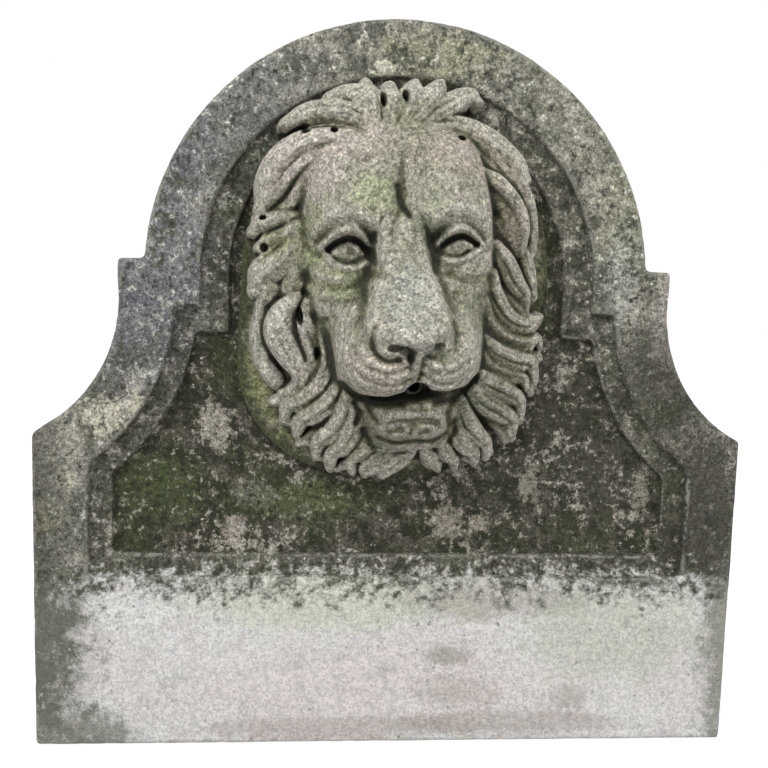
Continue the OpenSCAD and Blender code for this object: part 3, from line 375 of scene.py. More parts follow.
# Marks of a round tool: points, half width, height or depth
marks = [
    # furrow of the forehead and the plate between the brows
    [[[-2, 109], [0, 91], [9, 74]], 3, -6],
    [[[-15, 47], [-10, 68], [0, 82]], 4, -3],
    [[[15, 45], [13, 66], [5, 78]], 4, -3],
    [[[-32, 140], [-26, 113], [-33, 84]], 7, -3],
    [[[7, 146], [4, 117], [4, 97]], 7, -3],
    [[[-22, 150], [-40, 132], [-52, 108]], 5, -2],
    [[[-100, 62], [-84, 78], [-62, 84], [-42, 78], [-30, 64]], 6, 3.5],
    [[[34, 62], [48, 76], [68, 81], [88, 72], [100, 56]], 6, 3],
    [[[-36, 44], [-30, 60], [-22, 74]], 3, -4],
    [[[32, 42], [28, 58], [21, 72]], 3, -4],
    # upper lids, the shade under them and the crease over them
    [[[-93, 46], [-78, 57], [-63, 62], [-48, 57], [-38, 44]], 3.6, 9],
    [[[41, 41], [54, 52], [69, 55], [83, 47], [93, 36]], 3.6, 9],
    [[[-85, 43], [-75, 50], [-62, 54], [-50, 50], [-42, 41]], 3.4, -19],
    [[[47, 39], [57, 45], [70, 48], [80, 43], [88, 37]], 3.4, -18],
    [[[-97, 53], [-82, 64], [-64, 71], [-46, 67], [-34, 53]], 5, -4],
    [[[38, 50], [51, 61], [69, 64], [86, 55], [96, 43]], 5, -4],
    # lower lids and the inner corners
    [[[-90, 42], [-81, 29], [-67, 21], [-53, 20], [-43, 26]], 3.2, 7],
    [[[44, 25], [56, 20], [70, 22], [83, 29], [93, 34]], 3.2, 7],
    [[[-84, 40], [-76, 31], [-66, 26], [-55, 26]], 2, -5],
    [[[52, 27], [62, 25], [72, 28], [84, 34]], 2, -5],
    [[[-37, 34], [-32, 25], [-31, 12]], 6, -9],
    [[[42, 29], [37, 21], [33, 12]], 6, -8],
    # irises and pupils
    [[[-73, 44], [-73, 35], [-66, 29], [-56, 28], [-49, 33], [-47, 41]], 2, -2.6],
    [[[56, 40], [57, 32], [64, 26], [72, 28], [76, 35], [76, 41]], 2, -2.6],
    # folds under the eyes
    [[[-113, 15], [-99, 3], [-78, -2], [-56, 2], [-41, 12]], 7, -7],
    [[[-109, -9], [-95, -19], [-73, -19], [-51, -7]], 8, -4],
    [[[-112, -31], [-99, -37], [-83, -33]], 6, -4],
    [[[102, -1], [84, -5], [66, -2], [51, 7]], 7, -6],
    [[[93, -24], [78, -23], [59, -15]], 8, -3],
    # the wing of the nose, its curl and the nostrils
    [[[-33, -50], [-37, -58], [-36, -68], [-29, -74], [-20, -72]], 5, 9],
    [[[38, -50], [40, -62], [34, -72]], 6, 5],
    [[[-41, -44], [-45, -58], [-43, -72], [-33, -82], [-17, -83]], 4, -7],
    [[[47, -50], [49, -64], [44, -77], [31, -82], [17, -82]], 6, -4],
    [[[-17, -70], [-8, -68], [-3, -74], [-3, -84]], 4, -7],
    # the split of the lip
    [[[-5, -84], [-5, -94], [-3, -108]], 3.4, -5],
    [[[9, -83], [7, -95], [5, -108]], 3.4, -5],
    # folds of the muzzle
    [[[-64, -66], [-59, -83], [-43, -94], [-25, -97], [-10, -92]], 2.8, -5],
    [[[-71, -74], [-64, -95], [-47, -107], [-25, -112], [-8, -107]], 2.8, -6],
    [[[-74, -88], [-65, -107], [-49, -118], [-28, -122], [-13, -119]], 2.6, -4],
    [[[-74, -55], [-70, -68], [-64, -80]], 4, -3],
    [[[11, -90], [24, -100], [45, -100], [63, -91]], 2.8, -4],
    [[[9, -101], [24, -113], [47, -115], [68, -105]], 2.8, -5],
    [[[-77, -100], [-66, -119], [-48, -128], [-26, -131]], 2.6, -4],
    [[[12, -120], [28, -126], [50, -126], [70, -117]], 2.6, -4],
    [[[14, -80], [28, -88], [46, -88], [60, -78]], 2.6, -3],
    # under the muzzle
    [[[-78, -113], [-65, -128], [-45, -138], [-14, -138]], 5, -16],
    [[[27, -140], [49, -142], [69, -133], [80, -120]], 5, -15],
    # lower lip and the scrolls of the chin
    [[[-66, -141], [-62, -154], [-66, -166]], 4, -9],
    [[[-51, -144], [-47, -154], [-40, -164]], 3, -7],
    [[[-36, -176], [-39, -165], [-31, -155], [-9, -152], [16, -153], [31, -159], [35, -170],
      [29, -180]], 4, 6],
    [[[-28, -166], [-16, -162], [-9, -169], [-14, -178], [-23, -177]], 3, 6],
    [[[-1, -181], [2, -171], [15, -168], [24, -174], [20, -183], [11, -184]], 3, 6],
    [[[-40, -184], [-20, -192], [2, -190], [24, -194], [42, -186]], 5, -8],
    [[[50, -148], [43, -158], [46, -176]], 5, -9],
    [[[-58, -176], [-52, -188], [-48, -200]], 5, -8],
    [[[54, -172], [54, -186], [48, -200]], 5, -8],
]

# Locks of the mane: stations from root to tip, of u, v, height and half width,
# then how far the crest leans to one side, and how many strands are cut into it
locks = [
    # crown, from the parting outwards
    [[[-17, 160, 92, 8], [-33, 185, 92, 11], [-56, 199, 82, 12], [-93, 200, 70, 12],
      [-120, 191, 58, 8]], 0.3, 3],
    [[[-20, 163, 90, 7], [-39, 178, 88, 9], [-63, 188, 78, 9], [-90, 188, 66, 7]], 0.3, 2],
    [[[-16, 166, 92, 7], [-27, 190, 92, 12], [-37, 213, 84, 13], [-51, 220, 70, 10],
      [-69, 220, 58, 5]], 0.3, 3],
    [[[-10, 165, 92, 7], [-17, 192, 92, 12], [-25, 215, 86, 13], [-28, 227, 74, 9]], 0.2, 3],
    [[[-4, 165, 92, 6], [-1, 191, 94, 11], [0, 211, 88, 12], [1, 223, 76, 9]], 0, 2],
    [[[4, 165, 92, 6], [16, 190, 94, 12], [25, 210, 88, 13], [32, 222, 76, 9]], -0.2, 3],
    [[[11, 164, 92, 7], [31, 188, 92, 12], [49, 208, 84, 13], [61, 221, 72, 9]], -0.2, 3],
    [[[17, 164, 92, 8], [47, 183, 88, 12], [74, 198, 78, 14], [95, 208, 66, 11], [106, 203, 56, 6]], -0.3, 3],
    [[[24, 163, 92, 8], [52, 173, 88, 11], [84, 169, 80, 14], [117, 151, 70, 16], [147, 129, 58, 12],
      [161, 110, 48, 6]], -0.3, 3],
    [[[27, 160, 88, 6], [59, 167, 84, 7], [81, 158, 78, 8], [106, 139, 72, 12], [128, 117, 66, 12],
      [143, 101, 56, 6]], -0.3, 2],
    # forelock over the left temple
    [[[-23, 156, 98, 8], [-53, 163, 100, 16], [-87, 159, 96, 22], [-118, 143, 86, 26],
      [-141, 118, 72, 22], [-157, 96, 56, 9]], 0.2, 2],
    [[[-66, 150, 98, 5], [-87, 142, 92, 9], [-102, 121, 84, 11], [-122, 99, 70, 9],
      [-148, 87, 56, 5]], 0.2, 0],
    # left ear and temple
    [[[-116, 84, 72, 6], [-138, 82, 70, 9], [-158, 78, 60, 11], [-170, 70, 46, 7]], 0.2, 0],
    [[[-112, 72, 82, 9], [-128, 62, 80, 14], [-146, 58, 66, 13], [-162, 50, 52, 8]], 0.2, 2],
    [[[-113, 58, 82, 10], [-126, 40, 84, 17], [-146, 26, 76, 20], [-162, 16, 62, 17],
      [-172, 0, 48, 10]], 0.2, 2],
    [[[-150, 4, 62, 12], [-160, -8, 54, 12], [-168, -16, 44, 8]], 0.1, 0],
    [[[-110, 40, 84, 9], [-120, 20, 82, 15], [-128, 2, 74, 16], [-126, -16, 62, 10]], 0.2, 2],
    # left cheek
    [[[-167, -26, 42, 11], [-173, -56, 36, 14], [-171, -89, 30, 13], [-158, -116, 24, 11],
      [-155, -124, 16, 6]], 0, 0],
    [[[-128, -8, 74, 8], [-146, -26, 76, 16], [-152, -50, 72, 22], [-142, -78, 64, 20],
      [-130, -102, 56, 14], [-136, -120, 46, 9], [-154, -127, 34, 5]], -0.3, 2],
    [[[-112, -14, 76, 8], [-118, -36, 74, 13], [-114, -62, 68, 15], [-112, -84, 62, 11],
      [-122, -100, 52, 6]], -0.3, 2],
    [[[-98, -26, 76, 9], [-94, -54, 74, 16], [-90, -84, 72, 20], [-102, -112, 64, 18],
      [-126, -132, 54, 14], [-147, -142, 42, 11], [-155, -161, 28, 5]], -0.3, 3],
    # left of the jaw
    [[[-78, -102, 74, 9], [-88, -127, 68, 16], [-110, -146, 58, 15], [-133, -160, 44, 12],
      [-141, -182, 28, 5]], -0.3, 3],
    [[[-73, -124, 76, 9], [-81, -152, 68, 15], [-95, -173, 56, 14], [-113, -189, 42, 12],
      [-119, -210, 26, 5]], -0.3, 3],
    [[[-65, -145, 72, 9], [-71, -174, 62, 14], [-84, -193, 52, 13], [-99, -207, 38, 11],
      [-103, -229, 24, 5]], -0.3, 3],
    [[[-44, -171, 62, 8], [-53, -193, 54, 12], [-65, -207, 44, 11], [-75, -219, 32, 9],
      [-75, -237, 20, 5]], -0.3, 2],
    [[[-25, -198, 52, 8], [-38, -211, 44, 11], [-51, -220, 34, 10], [-60, -230, 26, 8],
      [-59, -243, 18, 4]], -0.3, 2],
    # right ear
    [[[97, 124, 80, 8], [122, 110, 80, 10], [144, 84, 74, 10], [154, 56, 66, 9], [152, 25, 52, 5]], 0.4, 2],
    [[[115, 93, 70, 8], [133, 76, 64, 15], [139, 51, 60, 17], [143, 25, 50, 8]], 0, 0],
    [[[142, 120, 60, 9], [161, 94, 54, 10], [169, 58, 46, 9], [170, 22, 34, 5]], 0.4, 2],
    # right cheek
    [[[116, 36, 74, 8], [129, 15, 72, 14], [141, -11, 62, 15], [153, -28, 50, 11],
      [156, -46, 38, 5]], 0.3, 3],
    [[[109, 2, 76, 9], [114, -26, 72, 14], [130, -53, 62, 15], [154, -64, 48, 12],
      [172, -56, 36, 5]], 0.3, 3],
    [[[97, -27, 78, 8], [103, -55, 72, 13], [124, -77, 60, 14], [152, -86, 46, 12], [169, -83, 36, 8],
      [174, -98, 26, 4]], 0.3, 2],
    [[[93, -73, 78, 8], [110, -90, 72, 13], [135, -104, 60, 15], [158, -113, 44, 12],
      [166, -138, 28, 5]], 0.3, 3],
    [[[90, -92, 78, 8], [100, -107, 70, 11], [123, -121, 58, 12], [146, -130, 44, 9],
      [153, -146, 32, 4]], 0.3, 2],
    # right of the jaw
    [[[84, -114, 78, 9], [103, -129, 70, 14], [125, -144, 58, 14], [142, -159, 42, 11],
      [145, -184, 28, 5]], 0.3, 3],
    [[[76, -130, 76, 9], [94, -149, 66, 15], [116, -167, 54, 14], [132, -184, 38, 11],
      [133, -209, 24, 5]], 0.3, 3],
    [[[61, -142, 74, 8], [72, -172, 62, 14], [85, -194, 52, 13], [98, -210, 38, 10],
      [99, -231, 24, 5]], 0.3, 3],
    [[[51, -154, 72, 8], [58, -184, 60, 12], [69, -206, 50, 11], [82, -220, 36, 9],
      [84, -237, 22, 5]], 0.3, 2],
    [[[38, -178, 60, 8], [42, -202, 50, 11], [49, -219, 42, 10], [58, -230, 30, 7],
      [58, -244, 18, 4]], 0.3, 2],
    # the layer below, seen between the tips
    [[[-120, 108, 60, 12], [-146, 98, 48, 12], [-164, 86, 34, 8]], 0, 2],
    [[[-98, -84, 62, 10], [-126, -114, 48, 13], [-150, -132, 34, 10], [-166, -138, 22, 6]], -0.2, 2],
    [[[-88, -118, 58, 10], [-110, -142, 46, 13], [-136, -160, 32, 10], [-155, -164, 20, 5]], -0.2, 2],
    [[[-78, -140, 54, 10], [-98, -166, 42, 13], [-122, -186, 28, 10], [-138, -194, 18, 5]], -0.2, 2],
    [[[-64, -160, 50, 10], [-82, -188, 38, 12], [-102, -208, 26, 9], [-118, -214, 16, 5]], -0.2, 2],
    [[[-48, -178, 46, 10], [-60, -204, 34, 11], [-80, -222, 24, 8], [-92, -231, 14, 5]], -0.2, 2],
    [[[118, 60, 62, 12], [148, 30, 48, 15], [162, -2, 36, 13], [168, -32, 24, 8]], 0.2, 3],
    [[[100, -8, 66, 10], [130, -34, 54, 13], [156, -58, 38, 11], [172, -62, 26, 6]], 0.2, 2],
    [[[98, -50, 66, 10], [126, -72, 52, 13], [150, -98, 38, 12], [172, -108, 24, 6]], 0.2, 2],
    [[[94, -84, 62, 10], [120, -104, 50, 13], [146, -128, 34, 11], [160, -152, 22, 6]], 0.2, 2],
    [[[88, -112, 60, 10], [114, -142, 46, 13], [134, -168, 30, 10], [146, -188, 18, 5]], 0.2, 2],
    [[[74, -140, 54, 10], [102, -168, 40, 13], [120, -194, 26, 9], [126, -212, 16, 5]], 0.2, 2],
    [[[60, -160, 50, 10], [82, -192, 36, 12], [98, -214, 24, 8], [106, -226, 14, 5]], 0.2, 2],
    [[[46, -180, 44, 10], [58, -208, 32, 11], [72, -226, 20, 8], [80, -236, 12, 4]], 0.2, 2],
    # under the chin
    [[[-16, -196, 52, 10], [-24, -216, 42, 12], [-46, -232, 28, 9], [-58, -240, 16, 5]], -0.2, 2],
    [[[1, -207, 50, 8], [-12, -221, 40, 12], [-26, -233, 30, 11], [-36, -244, 20, 6]], 0, 2],
    [[[17, -208, 50, 8], [27, -226, 38, 12], [33, -236, 28, 9], [36, -243, 20, 4]], 0, 2],
]

# Hollows dug with a drill or a gouge: centre, radii, and how softly their rim is worn
hollows = [
    [(-21, -68, 170), (9, 5, 18), 2],
    [(-11, -72, 168), (6, 6, 16), 2],
    [(-6, -80, 164), (4, 8, 14), 2],
    [(27, -71, 166), (7, 5, 10), 3],
    [(4, -122, 110), (15, 12, 52), 4],
    [(4, -129, 112), (32, 8, 46), 3],
    [(-38, -133, 96), (26, 5, 34), 3],
    [(46, -132, 96), (24, 5, 34), 3],
    [(-59, 39, 110), (5, 5, 8), 2],
    [(66, 36, 109), (4.5, 4.5, 7), 2],
    [(-8, 208, 80), (4, 9, 40), 2],
    [(18, 211, 80), (4, 8, 36), 2],
    [(-99, 180, 62), (6, 4, 30), 2],
    [(-67, 177, 76), (5, 4, 30), 2],
    [(78, 159, 76), (6, 4, 30), 2],
    [(-157, 86, 50), (5, 3, 22), 2],
    [(-159, 51, 50), (5, 6, 24), 2],
    [(-106, -79, 66), (4, 9, 34), 2],
    [(-123, -32, 62), (4, 12, 34), 2],
    [(-60, -152, 90), (6, 6, 30), 2],
]


def blurred(height, cellsWide):
    # three box blurs stand for a soft one
    for axis in (0, 1) * 3:
        edges = [(cellsWide + 1, cellsWide) if k == axis else (0, 0) for k in (0, 1)]
        padded = np.pad(height, edges, mode="edge")
        total = np.cumsum(padded, axis=axis)
        wide = 2 * cellsWide + 1
        height = (np.take(total, np.arange(wide, total.shape[axis]), axis)
                  - np.take(total, np.arange(total.shape[axis] - wide), axis)) / wide
    return height


def between(places, values, at):
    # a smooth line through a few places that never swings past them
    x, y = np.array(places, float), np.array(values, float)
    run = np.diff(y) / np.diff(x)
    slope = np.concatenate([[run[0]], np.where(run[1:] * run[:-1] > 0, 2 * run[1:] * run[:-1]
                            / np.where(run[1:] + run[:-1] == 0, 1, run[1:] + run[:-1]), 0), [run[-1]]])
    i = np.clip(np.searchsorted(x, at) - 1, 0, len(x) - 2)
    wide = x[i + 1] - x[i]
    t = (at - x[i]) / wide
    return (y[i] * (1 + 2 * t) * (1 - t) ** 2 + y[i + 1] * t * t * (3 - 2 * t)
            + wide * t * (1 - t) * (slope[i] * (1 - t) - slope[i + 1] * t))


def faceHeight(us, vs):
    # the face lies between its sections, and falls away outside them
    levels = sorted(sections)
    stations = np.array([sections[v] for v in levels], float)
    height = np.full((len(us), len(vs)), -mask["under"])
    for j, v in enumerate(vs):
        if levels[0] <= v <= levels[-1]:
            line = np.array([[between(levels, stations[:, k, n], v) for n in (0, 1)]
                             for k in range(stations.shape[1])])
            past = np.maximum(line[0, 0] - us, us - line[-1, 0])
            inner = between(line[:, 0], line[:, 1], np.clip(us, line[0, 0], line[-1, 0]))
            height[:, j] = np.where(past > 0, inner - 4 * past, inner)
    return height


def weatherAt(u, v):
    # soft lumps, and pits where a hard noise peaks
    place = Vector((u, v, 0))
    worn = mask["lumps"] * noise.fractal(place / 13, 1.0, 2.0, 4)
    for size, peak in ((5, 0.25), (2.6, 0.3)):
        worn -= mask["pits"] * max(0, noise.noise(place / size) - peak)
    return worn


def softMin(a, b, blend):
    h = np.maximum(blend - np.abs(a - b), 0) / blend
    return np.minimum(a, b) - h * h * blend / 4


def drawMask():
    step = mask["step"]
    us = np.arange(mask["low"][0], mask["high"][0], step)
    vs = np.arange(mask["low"][1], mask["high"][1], step)
    u, v = np.meshgrid(us, vs, indexing="ij")
    height = np.maximum(massTop(body[0], u, v), massTop(body[1], u, v))
    face = np.maximum(blurred(faceHeight(us, vs), 1), -mask["under"])
    for ball in eyeballs:
        face = np.maximum(face, massTop(ball, u, v))
    hair = np.full(u.shape, -mask["under"])
    for lock in locks:
        part, top = lockTop(lock, u, v)
        hair[part] = -softMin(-hair[part], -top, mask["lockBlend"])
    height = -softMin(-np.maximum(height, hair), -face, mask["hairBlend"])
    for points, width, depth in marks:
        drawMark(height, points, width, depth, u, v)
    height = 0.6 * height + 0.4 * blurred(height, 1)
    worn = np.array([weatherAt(a, b) for a in us for b in vs]).reshape(height.shape)
    return us, vs, height + np.where(height > 0, worn, 0)


def digOut(field, axes, centre, radii, blend):
    # a hollow shaped like an egg, taken out of the stone
    reach = np.array(radii) + blend + 3
    ends = [np.searchsorted(axes[k], (centre[k] - reach[k], centre[k] + reach[k])) for k in range(3)]
    part = tuple(slice(first, last) for first, last in ends)
    p = [(axes[k][part[k]] - centre[k]).reshape([-1 if k == n else 1 for n in range(3)]) for k in range(3)]
    k0 = np.sqrt(sum((p[k] / radii[k]) ** 2 for k in range(3)))
    k1 = np.sqrt(sum((p[k] / radii[k] ** 2) ** 2 for k in range(3)))
    egg = k0 * (k0 - 1) / np.maximum(k1, 1e-6)
    field[part] = -softMin(-field[part], egg, blend)


def skinOf(field, low, step):
    # a net of four-sided faces over the place where the field is nought
    inside = field < 0
    nx, ny, nz = field.shape
    corners = [(a, b, c) for a in (0, 1) for b in (0, 1) for c in (0, 1)]
    full = np.zeros((nx - 1, ny - 1, nz - 1), np.int8)
    for a, b, c in corners:
        full += inside[a:nx - 1 + a, b:ny - 1 + b, c:nz - 1 + c]
    mixed = (full > 0) & (full < 8)
    where = np.argwhere(mixed)
    number = np.full(mixed.shape, -1, np.int64)
    number[mixed] = np.arange(len(where))
    total, hits = np.zeros((len(where), 3)), np.zeros(len(where))
    for p in corners:
        for axis in range(3):
            if p[axis]:
                continue
            q = list(p)
            q[axis] = 1
            f0 = field[tuple((where + p).T)]
            f1 = field[tuple((where + q).T)]
            cross = (f0 < 0) != (f1 < 0)
            place = np.repeat(np.array(p, float)[None], len(where), 0)
            place[:, axis] = np.where(cross, f0 / np.where(f0 == f1, 1, f0 - f1), 0)
            total += place * cross[:, None]
            hits += cross
    points = np.array(low) + step * (where + total / hits[:, None])
    faces = []
    for axis in range(3):
        first = tuple(slice(0, -1) if k == axis else slice(None) for k in range(3))
        second = tuple(slice(1, None) if k == axis else slice(None) for k in range(3))
        edge = np.argwhere(inside[first] != inside[second])
        b, c = (axis + 1) % 3, (axis + 2) % 3
        edge = edge[(edge[:, b] > 0) & (edge[:, c] > 0)
                    & (edge[:, b] < field.shape[b] - 1) & (edge[:, c] < field.shape[c] - 1)]
        flip = inside[tuple(edge.T)]
        ring = []
        for db, dc in ((-1, -1), (0, -1), (0, 0), (-1, 0)):
            near = edge.copy()
            near[:, b] += db
            near[:, c] += dc
            ring.append(number[tuple(near.T)])
        quad = np.stack(ring, 1)
        quad[~flip] = quad[~flip][:, ::-1]
        faces.append(quad)
    return points, np.vstack(faces)


def readMap(table, us, vs, u, v):
    # a value from a drawn map, between its squares
    i = np.clip((u - us[0]) / (us[1] - us[0]), 0, len(us) - 1.001)
    j = np.clip((v - vs[0]) / (vs[1] - vs[0]), 0, len(vs) - 1.001)
    a, b = i.astype(int), j.astype(int)
    s, t = i - a, j - b
    return ((table[a, b] * (1 - s) + table[a + 1, b] * s) * (1 - t)
            + (table[a, b + 1] * (1 - s) + table[a + 1, b + 1] * s) * t)


def carveMask():
    step = mask["step"]
    us, vs, height = drawMask()
    hs = np.arange(-3 * step, mask["tallest"], step)
    axes = (us, vs, hs)
    slope = np.sqrt(1 + sum(g ** 2 for g in np.gradient(height, step)))
    slope = np.minimum(blurred(slope, 1), 6)
    field = ((hs[None, None, :] - height[:, :, None]) / slope[:, :, None]).astype(np.float32)
    for centre, radii, blend in hollows:
        digOut(field, axes, centre, radii, blend)
    field = np.maximum(field, -hs[None, None, :])       # the flat back
    points, faces = skinOf(field, (us[0], vs[0], hs[0]), step)
    u, v, h = points.T
    h = h * mask["deeper"]
    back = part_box("lion_head")[1][1] / mm       # where the flat back meets the mortar
    lean, (x0, z0) = math.radians(mask["lean"]), mask["middle"]
    world = np.stack([x0 + u * math.cos(lean) - v * math.sin(lean), back - h,
                      z0 + u * math.sin(lean) + v * math.cos(lean)], 1) * mm
    piece = newPiece("lionMask", world, faces)
    lighten(piece, mask["faces"])
    x, y, z = pointsOf(piece).T / mm
    x, z = x - x0, z - z0
    u, v = x * math.cos(lean) + z * math.sin(lean), z * math.cos(lean) - x * math.sin(lean)
    # how far each point lies below its surroundings, near and wide: it carries the painted shade in the cuts
    # and the painted highlight on what stands proud
    hollow = sum(np.clip((blurred(height, wide) - height) / deep, -1, 1) for wide, deep in ((2, 5), (8, 22)))
    giveValue(piece, "hollow", readMap(hollow, us, vs, u, v))
    # how far each point lies below its wider surroundings, for the painted shade there
    around = readMap(np.maximum(blurred(height, 14), 5), us, vs, u, v)
    giveValue(piece, "low", np.clip(1 - (back - y) / mask["deeper"] / around, -1, 1))
    return piece


maskStains = [
    (-126, 735, 62, 42, 0.75, (0.52, 0.46, 0.42)),
    (-60, 760, 60, 26, 0.5, (0.46, 0.40, 0.35)),
    (60, 750, 60, 30, 0.5, (0.40, 0.33, 0.27)),
    (0, 570, 33, 62, 0.8, (0.42, 0.42, 0.37)),
    (-109, 650, 20, 38, 0.6, (0.27, 0.29, 0.15)),
    (-84, 598, 48, 20, 0.6, (0.33, 0.35, 0.20)),
    (66, 604, 40, 18, 0.5, (0.34, 0.34, 0.24)),
    (-70, 646, 30, 16, 0.5, (0.20, 0.20, 0.13)),
    (62, 646, 30, 15, 0.5, (0.22, 0.21, 0.14)),
    (-43, 699, 26, 26, 0.6, (0.42, 0.45, 0.27)),
    (30, 690, 22, 40, 0.5, (0.34, 0.36, 0.25)),
    (-142, 525, 28, 56, 0.85, (0.56, 0.53, 0.47)),
    (-39, 500, 46, 34, 0.6, (0.43, 0.36, 0.29)),
    (12, 440, 70, 32, 0.85, (0.12, 0.105, 0.06)),
    (150, 560, 54, 190, 0.8, (0.15, 0.135, 0.085)),
    (118, 690, 34, 60, 0.5, (0.36, 0.30, 0.24)),
    (-178, 540, 18, 60, 0.6, (0.33, 0.34, 0.27)),
    (-160, 640, 26, 22, 0.6, (0.24, 0.25, 0.11)),
]
maskCoats = [
    ("mottle", 0.56, 0.70, 0.6, (0.20, 0.20, 0.11)),        # lichen
    ("deep", 0.02, 0.42, 0.9, (0.085, 0.085, 0.04)),        # shade in the cuts between the locks
    # painted shade, near black, in the deepest cuts
    ("deep", 0.35, 0.8, 1, (0.03, 0.032, 0.018)),
    ("low", 0.2, 0.9, 0.6, (0.13, 0.13, 0.06)),             # painted shade, olive dark, where the surface lies far below its surroundings
    ("hollow", -0.12, -0.6, 0.55, (0.60, 0.57, 0.50)),      # what stands proud, rubbed pale, with a painted highlight on it
]


def maskStone():
    material, tree, shader, place = startMaterial("carvedStone", 0.9)
    hollow = painted(tree, "hollow")
    cloud = grain(tree, place, 17, 5, 0.6)
    warm = grain(tree, place, 34, 4, 0.55, 0.4)
    mottle = grain(tree, place, 75, 4, 0.65)
    ragged = sums(tree, "MULTIPLY_ADD", mottle, 1.6, -0.8)
    # the cuts and hollows, where the painted shade goes
    deep = sums(tree, "MULTIPLY_ADD", mottle, 0.5, sums(tree, "ADD", hollow, -0.25))
    low = sums(tree, "ADD", painted(tree, "low"), ragged)
    colour = tint(tree, fade(tree, cloud, 0.41, 0.59), *mask["tones"])
    colour = tint(tree, fade(tree, warm, 0.55, 0.70, 0, 0.7), colour, mask["rosy"])
    colour = tinted(tree, colour, place, maskStains, ragged)
    colour = layered(tree, colour, maskCoats, mottle=mottle, deep=deep, low=low, hollow=hollow)
    colour = gritty(tree, speckled(tree, colour, place, 0.52, 1.46), place, 0.65)
    roughened(tree, shader, place, colour, 240, 0.0045)
    return material


# The slab is one stone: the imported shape, remeshed finely, then worn by weather

slab = {
    "mesh": 3.2,                # size of the squares of its net, in millimetres
    "faces": 170000,
    "worn": 4,                  # how many times the arrises are rubbed down
    "chips": 1.6,
    "swell": 0.35,
    "sunkFrom": (24, 34),       # only this far inside its outline is the stone sunk
    "bandAt": (-56, -50),       # depths between which the band takes its colour
    "panelAt": (-42, -36),
    "hewnAt": (15, 55),
    "washFront": (-10, -50),
    "washAt": (402, 345),       # heights between which the apron turns pale, its ragged edge added
    "fringeAt": (330, 300),     # and those of the dark growth over it
    "frame": ((0.13, 0.13, 0.105), (0.33, 0.315, 0.262)),       # two tones for each part
    "panel": ((0.10, 0.09, 0.068), (0.022, 0.026, 0.010)),
    "apron": ((0.80, 0.765, 0.755), (0.85, 0.84, 0.82)),
    "hewn": ((0.17, 0.165, 0.14), (0.29, 0.28, 0.24)),
    "moss": (0.045, 0.058, 0.018),
    "fringe": (0.075, 0.083, 0.05),
    "arrisHighlight": (0.42, 0.41, 0.36),
}


def chipAt(place):
    # slow waves along an arris, and chips where a finer noise peaks
    return 0.5 + 0.5 * noise.noise(place * 38) + 0.6 * max(0, noise.noise(place * 110) - 0.1)


def wear(piece, look):
    # arrises pull back unevenly, and the flats swell and sink a little
    places = pointsOf(piece)
    edges = np.empty(len(piece.data.edges) * 2, np.int32)
    piece.data.edges.foreach_get("vertices", edges)
    a, b = edges.reshape(-1, 2).T
    count = np.bincount(a, minlength=len(places)) + np.bincount(b, minlength=len(places))
    soft = places.copy()
    for _ in range(look["worn"]):
        total = np.stack([np.bincount(a, soft[b, k], len(soft)) + np.bincount(b, soft[a, k], len(soft))
                          for k in range(3)], 1)
        soft = (soft + total / count[:, None]) / 2
    pull = soft - places
    normals = np.empty(len(places) * 3, np.float32)
    piece.data.vertices.foreach_get("normal", normals)
    normals = normals.reshape(-1, 3)
    share = np.array([chipAt(Vector(p)) for p in places])
    lift = np.array([noise.fractal(Vector(p) * 26, 1.0, 2.0, 4) for p in places])
    places += (pull * (0.7 + look["chips"] * share ** 2)[:, None]
               + normals * (lift * look["swell"] * mm)[:, None])
    piece.data.vertices.foreach_set("co", places.astype(np.float32).ravel())
    piece.data.update()
    return np.einsum("ij,ij->i", pull, normals) / mm


def remeshed(node, name, size):
    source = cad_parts[node]
    piece = bpy.data.objects.new(name, source.data.copy())
    piece.data.materials.clear()
    bpy.context.scene.collection.objects.link(piece)
    net = piece.modifiers.new("net", "REMESH")
    net.mode, net.voxel_size = "VOXEL", size * mm
    applyModifiers(piece)
    return piece


def giveInset(piece):
    # how far each point lies inside the slab's outline, measured from the plain middle of its sides
    places = pointsOf(piece) / mm
    rim = places[(places[:, 1] > -15) & (places[:, 1] < 0)]
    tree = kdtree.KDTree(len(rim))
    for n, (x, y, z) in enumerate(rim):
        tree.insert((x, 0, z), n)
    tree.balance()
    giveValue(piece, "inset", np.array([tree.find((x, 0, z))[2] for x, y, z in places]))


def cutSlab():
    piece = remeshed("back_slab", "backSlab", slab["mesh"])
    pull = wear(piece, slab)
    # how far each arris pulled back, for the painted highlight along it
    giveValue(piece, "arris", np.clip(-pull / 1.2, -1, 1))
    lighten(piece, slab["faces"])
    giveInset(piece)
    return piece


